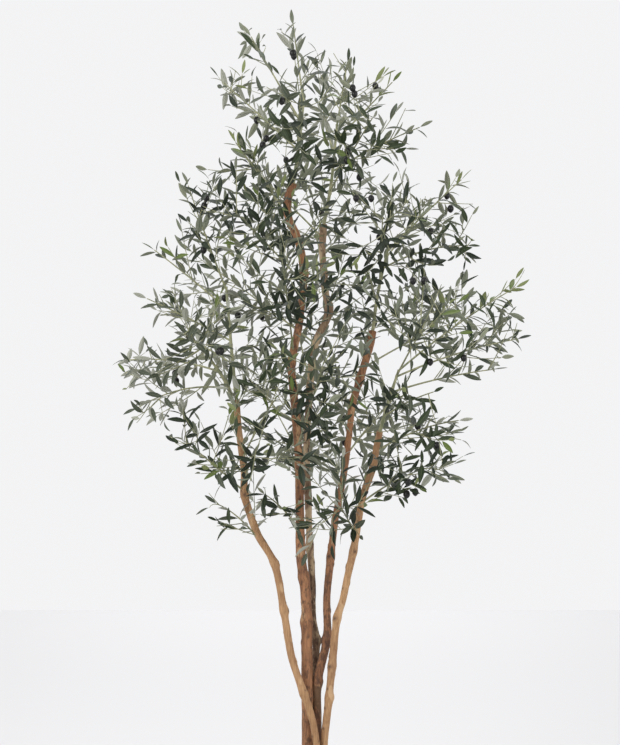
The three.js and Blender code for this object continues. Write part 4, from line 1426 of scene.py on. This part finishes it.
def wanted_leaves(twig):
    """Point, direction, the twig's heading, size, shade and number of each leaf, tip first."""
    seed, line, place, total = (twig[key] for key in ("seed", "line", "place", "length"))
    spots = pairs_along(twig)
    points, headings, _ = along_line(line, spots)
    shade_name = shade_of_twig(twig)
    fresh = is_fresh(twig)
    first_turn = 2 * math.pi * chance(seed, place + 0.8)
    wanted = []
    for i, (lean, size) in enumerate(zip(TIP_LEANS, TIP_SIZES)):
        direction = leaning(headings[-1], 0, first_turn + TIP_TURN * i, math.radians(lean))
        tint = "young" if fresh else shade_name
        wanted.append((line[-1], direction, headings[-1], TIP_LEAF * size, tint, place + 60 + i))
    for i, (point, along) in enumerate(zip(points, headings)):
        ripe = (total - spots[i]) / total
        for hand in (0, 1):
            here = place + 3 * i + 1.37 * hand
            if chance(seed, here + 0.9) < MISSING_SHARE:
                continue
            turn = first_turn + math.pi * (hand + i / 2) + 0.5 * (chance(seed, here) - 0.5)
            lean = math.radians(pick(LEAF_LEAN, seed, here + 0.2) * (0.7 + 0.3 * ripe))
            direction = leaning(along, 0, turn, lean)
            size = LEAF_SIZE * pick(LEAF_SIZES, seed, here + 0.4)
            size *= 0.7 + 0.3 * min(1, ripe * 3) if i else FIRST_PAIR_SIZE
            tint = "young" if fresh and ripe < YOUNG_END else shade_name
            wanted.append((point, direction, along, size, tint, here))
    return wanted


print("the longest twig has", max(len(pairs_along(twig)) for twig in twigs), "pairs of leaves")

# %% Set leaves along the twigs
LEAF_BREADTH = 16.5
LEAF_SLIMNESS = (0.76, 1.16)
LEAF_BENDS = (-0.16, 0.46)
LEAF_TWISTS = (-0.5, 0.5)
LEAF_SPACING = 22
STALK_LEAF_EASE = 34
MIDDLE_OFF_LIMB = 4
LEAF_OFF_LIMB = 1
LOOK_TO_TIP = 0.8
LOOK_TO_SKY = 0.4

leaf_crowd = Crowd(20000)
leaf_rows = {shade_name: [] for shade_name in SHADES}


def face_of_leaf(direction, along, seed, place):
    """The way a leaf's upper face looks: to the sky, to the twig's tip, and a little at random."""
    stray = np.array([chance(seed, place + i) - 0.5 for i in (0.11, 0.22, 0.33)])
    wish = LOOK_TO_TIP * along + LOOK_TO_SKY * UP + stray
    return unit(wish - wish.dot(direction) * direction)


def set_leaves(twig):
    """Keeps the leaves that have room, each as one row of numbers under its shade."""
    wanted, seed = wanted_leaves(twig), twig["seed"]
    middles = np.array([point + 0.5 * size * direction for point, direction, _, size, _, _ in wanted])
    tips = np.array([point + size * direction for point, direction, _, size, _, _ in wanted])
    ease = STALK_LEAF_EASE if twig["kind"] == "stalk" else OUTLINE_EASE
    room = clear_of_limbs(middles, MIDDLE_OFF_LIMB) & clear_of_limbs(tips, LEAF_OFF_LIMB)
    room &= open_to(tips, ease) & ~in_gap(seen_from_front(middles))
    room &= ~in_gap(seen_from_front(lerp(middles, tips, 0.5)))
    for (point, direction, along, size, tint, here), middle, fits in zip(wanted, middles, room):
        if not fits or leaf_crowd.nearest(middle[None])[0] <= LEAF_SPACING:
            continue
        leaf_crowd.take(middle[None])
        breadth = LEAF_BREADTH * (size / LEAF_SIZE) ** 0.9 * pick(LEAF_SLIMNESS, seed, here + 0.6)
        bend, twist = pick(LEAF_BENDS, seed, here + 0.44), pick(LEAF_TWISTS, seed, here + 0.55)
        face = face_of_leaf(direction, along, seed, here)
        leaf_rows[tint].append([*point, *direction, *face, size, breadth, bend, twist])


for twig in twigs:
    set_leaves(twig)
print({name: len(rows) for name, rows in leaf_rows.items()}, "leaves")

# %% [markdown]
# ## Greens
# Olive leaves are dark grey-green above and silvery underneath, with a pale rib. The shade
# changes from spray to spray, partly as the sprays' own tone and partly as painted shade in the
# crown's middle and painted light at its edges, and the youngest leaves are yellow-green. A leaf
# is a few pixels wide, so veins in its finish would be lost. Each face has a plain colour instead,
# and the pattern comes from thousands of leaves that each catch the light their own way.

# %% Mix the leaf colours
LEAF_COLOURS = {
    # upper face, lower face, rib
    "deep": (shade(32, 42, 28), shade(116, 121, 104), shade(64, 73, 50)),
    "green": (shade(46, 57, 36), shade(130, 134, 114), shade(84, 92, 62)),
    "grey": (shade(66, 73, 58), shade(158, 160, 147), shade(108, 112, 94)),
    "young": (shade(84, 99, 47), shade(124, 132, 88), shade(118, 128, 76)),
}


def plain_finish(name, colour, roughness):
    finish = Finish(name)
    finish.surface(Base_Color=colour, Roughness=roughness, Specular_IOR_Level=0.25)
    return finish.material


leaf_finishes = {}
for name, (upper, lower, rib) in LEAF_COLOURS.items():
    leaf_finishes[name] = [
        plain_finish(f"leaf_{name}_upper", upper, 0.4), plain_finish(f"leaf_{name}_lower", lower, 0.65),
        plain_finish(f"leaf_{name}_rib", rib, 0.5)]
print("colours for", list(leaf_finishes), "leaves")

# %% [markdown]
# ## From one leaf to thousands
# The leaf could be copied as an object, but each copy would need its own bend and so its own mesh,
# thousands of them. Instead, the points of the one leaf are worked out for all leaves at once, as
# a sum of arrays: along the leaf, across it, and up by its fold and its bend. One mesh then takes
# all leaves of a shade.

# %% Copy the leaf along the twigs
FOLD = 0.32


def mesh_piece(name, points, faces, finishes, slots=None):
    """A new piece from arrays of points in millimetres and faces."""
    deselect_all()
    mesh = bpy.data.meshes.new(name)
    mesh.from_pydata((np.asarray(points) * MM).tolist(), [], faces)
    for finish in finishes:
        mesh.materials.append(finish)
    if slots is not None:
        mesh.polygons.foreach_set("material_index", slots)
    piece = bpy.data.objects.new(name, mesh)
    bpy.context.collection.objects.link(piece)
    piece.select_set(True)
    bpy.context.view_layer.objects.active = piece
    return piece


def copy_faces(faces, points_each, count):
    return [[v + points_each * i for v in face] for i in range(count) for face in faces]


def bent_leaves(rows):
    """The points of all leaves: the template bent, twisted and set along each direction."""
    rows = np.array(rows)
    root, along, face = rows[:, None, 0:3], rows[:, None, 3:6], rows[:, None, 6:9]
    size, breadth, bend, twist = rows[:, 9:].T[:, :, None]
    side = np.cross(face, along)
    u, v, w = leaf_shape.T[:, None, :]
    across = v * breadth / 2
    lift = w * size + FOLD * np.abs(across) - bend * u**2 * size
    angle = twist * u
    sideways = across * np.cos(angle) - lift * np.sin(angle)
    upward = across * np.sin(angle) + lift * np.cos(angle)
    return (root + along * (u * size)[..., None] + side * sideways[..., None]
            + face * upward[..., None]).reshape(-1, 3)


SMOOTH_UNDER = math.radians(60)
leaf_pieces = []
for name, rows in leaf_rows.items():
    piece = mesh_piece(
        f"leaves_{name}", bent_leaves(rows), copy_faces(leaf_faces, len(leaf_shape), len(rows)),
        leaf_finishes[name], np.tile(leaf_slots, len(rows)))
    bpy.ops.object.shade_smooth_by_angle(angle=SMOOTH_UNDER)
    leaf_pieces.append(piece)
    print(piece.name, len(piece.data.polygons), "faces")

# %% [markdown]
# ## Twigs
# Stalks, sprigs and side twigs are thin tubes that thicken a little where a pair of leaves sits.
# A bevelled curve would do, as for the poles, but it gives all its splines the same number of
# sides, and thin twigs need fewer than thick ones. So rings of points are laid round each line as
# arrays, and all tubes go into one mesh.

# %% Lay tubes along the twigs
TWIG_SHAPES = {
    # radius at the foot and at the tip, sides
    "stalk": (3.1, 1.5, 7), "sprig": (1.6, 0.9, 5), "side": (1.1, 0.7, 5),
}
RING_EVERY = 8
FEWEST_RINGS = 3


def tube(line, radii, sides):
    """Rings of points round a line, closed at both ends, and their faces."""
    headings = np.gradient(line, axis=0)
    headings /= np.linalg.norm(headings, axis=1)[:, None]
    side = unit(np.cross(headings[0], [0.31, 0.95, 0.05]))
    angles = 2 * math.pi * np.arange(sides) / sides
    points = []
    for centre, heading, radius in zip(line, headings, radii):
        side = unit(side - side.dot(heading) * heading)
        face = np.cross(heading, side)
        ring = np.outer(np.cos(angles), side) + np.outer(np.sin(angles), face)
        points.append(centre + radius * ring)
    corners = np.arange(len(line) * sides).reshape(-1, sides)
    after = np.roll(corners, -1, axis=1)
    walls = np.stack([corners[:-1], after[:-1], after[1:], corners[1:]], -1).reshape(-1, 4)
    faces = [*walls.tolist(), corners[0, ::-1].tolist(), corners[-1].tolist()]
    return np.concatenate(points), faces


class Tubes:
    """Many tubes that become one mesh."""

    def __init__(self):
        self.points, self.faces, self.count = [], [], 0

    def add(self, line, radii, sides):
        points, faces = tube(line, radii, sides)
        self.points.append(points)
        self.faces += [[v + self.count for v in face] for face in faces]
        self.count += len(points)


twig_tubes = Tubes()
for twig in twigs:
    spots = np.linspace(0, twig["length"], max(FEWEST_RINGS, round(twig["length"] / RING_EVERY)))
    thick, thin, sides = TWIG_SHAPES[twig["kind"]]
    swell = np.exp(-((np.abs(spots[:, None] - pairs_along(twig)).min(1) / NODE_REACH) ** 2))
    radii = np.linspace(thick, thin, len(spots)) * (1 + NODE_SWELL * swell)
    twig_tubes.add(along_line(twig["line"], spots)[0], radii, sides)
print(twig_tubes.count, "points round the twigs")

# %% [markdown]
# ## Olives
# The fruit is black with a soft sheen, hangs singly or in pairs, and has a short stalk. It could
# be spun from a profile, but a sphere is nearer: drawn out in length, with a dimple at its stalk
# and a small point below. For each place in the list the twig that is seen nearest to it, and
# rather in front than behind, bears the olive. A few more hang round the back.

# %% Shape one olive
OLIVE_WIDTH = 19
OLIVE_LENGTH = 23.5

deselect_all()
bpy.ops.mesh.primitive_uv_sphere_add(segments=16, ring_count=10, radius=0.5)
olive_model = bpy.context.object
select_points(olive_model, lambda co: co.z > 0.499)
bpy.ops.transform.translate(value=(0, 0, -0.05))
select_points(olive_model, lambda co: co.z < -0.499)
bpy.ops.transform.translate(value=(0, 0, -0.03))
select_points(olive_model, lambda co: co.z < -0.2)
bpy.ops.transform.resize(value=(0.94, 0.94, 1), center_override=(0, 0, 0))
olive_shape, olive_faces = shape_of(olive_model)
olive_shape *= (OLIVE_WIDTH, OLIVE_WIDTH, OLIVE_LENGTH)
print("an olive has", len(olive_faces), "faces")

# %% Hang the olives
OLIVE_DROP = 5
OLIVE_SIZES = (0.9, 1.06)
DIMPLE = 0.44
SWAY = 6
BACK_OLIVES = 16
BACK_FROM = 100
HANG_EVERY = 9
HANG_FROM = 0.4
HANG_BEFORE_END = 15
RATHER_IN_FRONT = 0.14
IN_USE = 1000

hangers = []
for twig in twigs:
    if twig["kind"] != "stalk":
        spots = np.arange(HANG_FROM * twig["length"], twig["length"] - HANG_BEFORE_END, HANG_EVERY)
        hangers.append(along_line(twig["line"], spots)[0])
hangers = np.concatenate(hangers)
seen = seen_from_front(hangers - UP * (OLIVE_DROP + OLIVE_LENGTH / 2))
taken = np.zeros(len(hangers))
hung = []
for wanted in OLIVES:
    miss = np.linalg.norm(seen - wanted, axis=1) + RATHER_IN_FRONT * hangers[:, 1] + taken
    nearest = int(miss.argmin())
    taken[nearest] = IN_USE
    hung.append(hangers[nearest])
at_back = hangers[hangers[:, 1] > BACK_FROM]
hung += [at_back[int(chance(7, i) * len(at_back))] for i in range(BACK_OLIVES)]

olive_points = []
for i, top in enumerate(hung):
    sway = np.array([chance(8, i) - 0.5, chance(9, i) - 0.5, 0]) * SWAY
    below = top + sway - UP * OLIVE_DROP
    olive = olive_shape * lerp(*OLIVE_SIZES, chance(10, i))
    olive_points.append(below - UP * DIMPLE * OLIVE_LENGTH + olive)
    stalk = np.array([top, lerp(top, below, 0.5) + sway * 0.2, below - UP])
    twig_tubes.add(stalk, [0.9, 0.7, 0.8], 4)
print(len(hung), "olives on", len(hangers), "places where one could hang")

# %% Make the olives
def olive_finish():
    finish = Finish("olive_skin")
    bloom = finish.noise(finish.place(), 60, detail=2)
    finish.surface(
        Base_Color=finish.ramp(bloom, (0.4, shade(10, 10, 9)), (0.7, shade(24, 22, 22))),
        Roughness=0.3, Specular_IOR_Level=0.35)
    return finish.material


olives = mesh_piece(
    "olives", np.concatenate(olive_points), copy_faces(olive_faces, len(olive_shape), len(hung)),
    [olive_finish()])
bpy.ops.object.shade_smooth()
print(olives.name, len(olives.data.polygons), "faces")

# %% Join the twigs
twig_piece = mesh_piece("twigs", np.concatenate(twig_tubes.points), twig_tubes.faces, [plastic])
bpy.ops.object.shade_smooth_by_angle(angle=SMOOTH_UNDER)
print(twig_piece.name, len(twig_piece.data.polygons), "faces")

# %% [markdown]
# ## Pot
# The photograph ends above the pot, so it is the plain black one that such trees are sold in. A
# pot is a turned shape, and a spun profile would do. Drawn from a disc it needs no merging: the
# disc's face is extruded up the wall, out and round the rim, and down again inside, and the last
# face is the bottom. Drain holes are inset in the lower wall.

# %% Draw the pot
POT_SIDES = 96
POT_OUTSIDE = [(96.5, 0), (98, 1.5), (98.6, 5), (100, 16), (106, 66), (106.9, 67), (107.1, 69),
               (106.6, 70), (116.6, 152), (117, 153), (121, 154), (121.6, 156), (122, 176),
               (121.6, 178.6), (120.4, 180)]
POT_INSIDE = [(118.6, 180), (117.4, 179.2), (116.8, 176), (113.6, 150), (95.6, 6), (94, 3.2)]
DRAIN_HOLES = 8
HOLE_FACES = 2
HOLE_HEIGHTS = (5.5, 16)
HOLE_FROM_AXIS = 97.5


def draw_up(profile):
    """Extrudes the selected cap through a profile of radius and height in millimetres."""
    for (radius, height), (next_radius, next_height) in zip(profile, profile[1:]):
        rise = (0, 0, (next_height - height) * MM)
        bpy.ops.mesh.extrude_region_move(TRANSFORM_OT_translate={"value": rise})
        scale = next_radius / radius
        bpy.ops.transform.resize(value=(scale, scale, 1), center_override=(0, 0, 0))


def start_disc(name, radius, height):
    deselect_all()
    bpy.ops.mesh.primitive_circle_add(
        vertices=POT_SIDES, radius=radius * MM, fill_type="NGON", location=(0, 0, height * MM))
    disc = bpy.context.object
    disc.name = name
    bpy.ops.object.transform_apply(location=True, rotation=True, scale=True)
    bpy.ops.object.mode_set(mode="EDIT")
    bpy.ops.mesh.select_mode(type="FACE")
    bpy.ops.mesh.select_all(action="SELECT")
    return disc


def face_outward():
    bpy.ops.mesh.select_all(action="SELECT")
    bpy.ops.mesh.normals_make_consistent(inside=False)
    bpy.ops.object.mode_set(mode="OBJECT")


pot = start_disc("pot_shell", *POT_OUTSIDE[0])
draw_up(POT_OUTSIDE + POT_INSIDE)
face_outward()
for face in pot.data.polygons:
    turn = math.atan2(face.center.y, face.center.x) / (2 * math.pi) * POT_SIDES
    low = HOLE_HEIGHTS[0] * MM < face.center.z < HOLE_HEIGHTS[1] * MM
    outside = Vector(face.center[:2]).length > HOLE_FROM_AXIS * MM
    face.select = low and outside and turn % (POT_SIDES / DRAIN_HOLES) < HOLE_FACES
bpy.ops.object.mode_set(mode="EDIT")
bpy.ops.mesh.select_mode(type="FACE")
bpy.ops.mesh.inset(thickness=1.2 * MM)
bpy.ops.mesh.inset(thickness=0.3 * MM, depth=-2.2 * MM)
bpy.ops.object.mode_set(mode="OBJECT")
print(pot.name, len(pot.data.polygons), "faces")

# %% [markdown]
# ## The pot's plastic
# Such a pot is moulded in black plastic and never quite black: it is a little cloudy, finely
# grained, and has pale scuffs round its body. One plain black would hide its shape, so noise of
# three sizes gives cloud, grain and scuffs.

# %% Mix the pot's plastic
def pot_plastic():
    finish = Finish("pot_plastic")
    cloud = finish.noise(finish.place(), 14, detail=4)
    fine = finish.noise(finish.place((1, 1, 0.3)), 700, detail=2)
    scuffs = finish.noise(finish.place((1, 1, 6)), 30, detail=5, roughness=0.7).above(0.68, 0.05)
    colour = finish.ramp(cloud, (0.35, shade(20, 20, 21)), (0.7, shade(34, 34, 35)))
    finish.surface(
        Base_Color=finish.blend(scuffs * 0.35, colour, shade(92, 90, 86)),
        Roughness=cloud * 0.25 + scuffs * 0.15 + 0.3)
    finish.bump(fine, 0.12 * MM)
    return finish.material


pot.data.materials.append(pot_plastic())
bpy.ops.object.shade_smooth_by_angle(angle=math.radians(35))
print("finish:", pot.data.materials[0].name)

# %% [markdown]
# ## Fill
# The poles are set in a block that fills the pot. It could be a plain cylinder under the chips,
# but its top shows between them. So it is a disc drawn up like the pot, with rings inset in its
# top that are then pushed up and down.

# %% Fill the pot
FILL = [(95, 3.4), (113.6, 156)]
FILL_RINGS = 11
BED_FROM = 150
MOUNDS = [(2.2, 16, 5), (1.2, 5, 6)]  # height, size, seed
fill = start_disc("fill_block", *FILL[0])
draw_up(FILL)
for ring in range(FILL_RINGS):
    bpy.ops.mesh.inset(thickness=FILL[1][0] / (FILL_RINGS + 1) * MM)
bpy.ops.mesh.poke()
face_outward()
bed = points_of(fill) / MM
on_top = bed[:, 2] > BED_FROM
bed[on_top, 2] += sum(high * pattern(bed[on_top], size, 1, seed) for high, size, seed in MOUNDS)
move_points(fill, bed * MM)


def fill_finish():
    finish = Finish("fill_grit")
    grit = finish.noise(finish.place(), 500, detail=4)
    cloud = finish.noise(finish.place(), 40, detail=3)
    colour = finish.ramp(grit * 0.5 + cloud * 0.5, (0.35, shade(46, 36, 28)), (0.65, shade(98, 80, 62)))
    finish.surface(Base_Color=colour, Roughness=0.95)
    finish.bump(grit, 0.8 * MM)
    return finish.material


fill.data.materials.append(fill_finish())
print(fill.name, len(fill.data.polygons), "faces")

# %% [markdown]
# ## Bark chips
# Broken bark lies on the fill. One chip is shaped from a cube: bevelled, its points shaken a
# little. Strewing copies by chance would leave bare patches and heaps, so they follow the spiral
# of a sunflower's seeds, each of its own size and tilt, and keep off the feet of the poles.

# %% Shape one chip
deselect_all()
bpy.ops.mesh.primitive_cube_add(size=1)
chip_model = bpy.context.object
bpy.ops.object.mode_set(mode="EDIT")
bpy.ops.mesh.select_all(action="SELECT")
bpy.ops.mesh.bevel(offset=0.2, segments=1, affect="EDGES")
bpy.ops.mesh.select_all(action="SELECT")
bpy.ops.transform.vertex_random(offset=0.09, seed=4)
chip_shape, chip_faces = shape_of(chip_model)
print("a chip has", len(chip_faces), "faces")

# %% Strew bark chips on the fill
CHIP_COUNT = 260
CHIP_COLOURS = (shade(92, 62, 42), shade(124, 88, 60), shade(66, 46, 34))
CHIP_SIZES = [(13, 24), (8, 13), (3, 5)]
CHIP_LEVEL = 159
CHIP_RISE = 2.5
STREWN_TO = 102
CLEAR_OF_POLE = 7
GOLDEN_TURN = 2.39996


def chip_turn(i):
    """A chip's turn about the upright axis and its two small tilts, as one matrix."""
    turn = Matrix.Rotation(6.3 * chance(32, i), 3, "Z")
    turn = turn @ Matrix.Rotation(lerp(-0.35, 0.35, chance(33, i)), 3, "Y")
    return np.array(turn @ Matrix.Rotation(lerp(-0.3, 0.3, chance(34, i)), 3, "X"))


feet = [(stem["stations"][0][1:3], stem["stations"][0][3]) for stem in STEMS.values()]
chip_points = []
for i in range(CHIP_COUNT):
    reach = STREWN_TO * math.sqrt((i + 0.5) / CHIP_COUNT)
    spot = np.array([reach * math.cos(GOLDEN_TURN * i), reach * math.sin(GOLDEN_TURN * i)])
    if any(np.hypot(*(spot - foot)) < radius + CLEAR_OF_POLE for foot, radius in feet):
        continue
    chip = chip_shape * [pick(ends, 31, i + j) for j, ends in enumerate(CHIP_SIZES)]
    chip_points.append(chip @ chip_turn(i).T + [*spot, CHIP_LEVEL + CHIP_RISE * chance(35, i)])
count = len(chip_points)
chips = mesh_piece(
    "bark_chips", np.concatenate(chip_points), copy_faces(chip_faces, len(chip_shape), count),
    [plain_finish(f"chip_{i}", colour, 0.9) for i, colour in enumerate(CHIP_COLOURS)],
    np.repeat(np.arange(count) % len(CHIP_COLOURS), len(chip_faces)))
print(count, "chips")

# %% [markdown]
# ## Put the pieces on the body
# Every piece rides on the tree's one body, and stands for the plain solids it was made around,
# which are then hidden.

# %% Put each piece on the body and hide its solids
def stand_for(piece, slot, *nodes):
    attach(piece, "root")
    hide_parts(*nodes)


for name, pole in poles.items():
    stand_for(pole, f"{STEMS[name]['wood']}_wood", name)
stand_for(bough_stems, "spray_stem", *BOUGHS)
for piece in (*leaf_pieces, olives):
    stand_for(piece, "foliage", *FOLIAGE)
stand_for(twig_piece, "spray_stem", *FOLIAGE)
stand_for(pot, "pot", "pot")
stand_for(fill, "fill", "pot_fill")
stand_for(chips, "fill", "pot_fill")
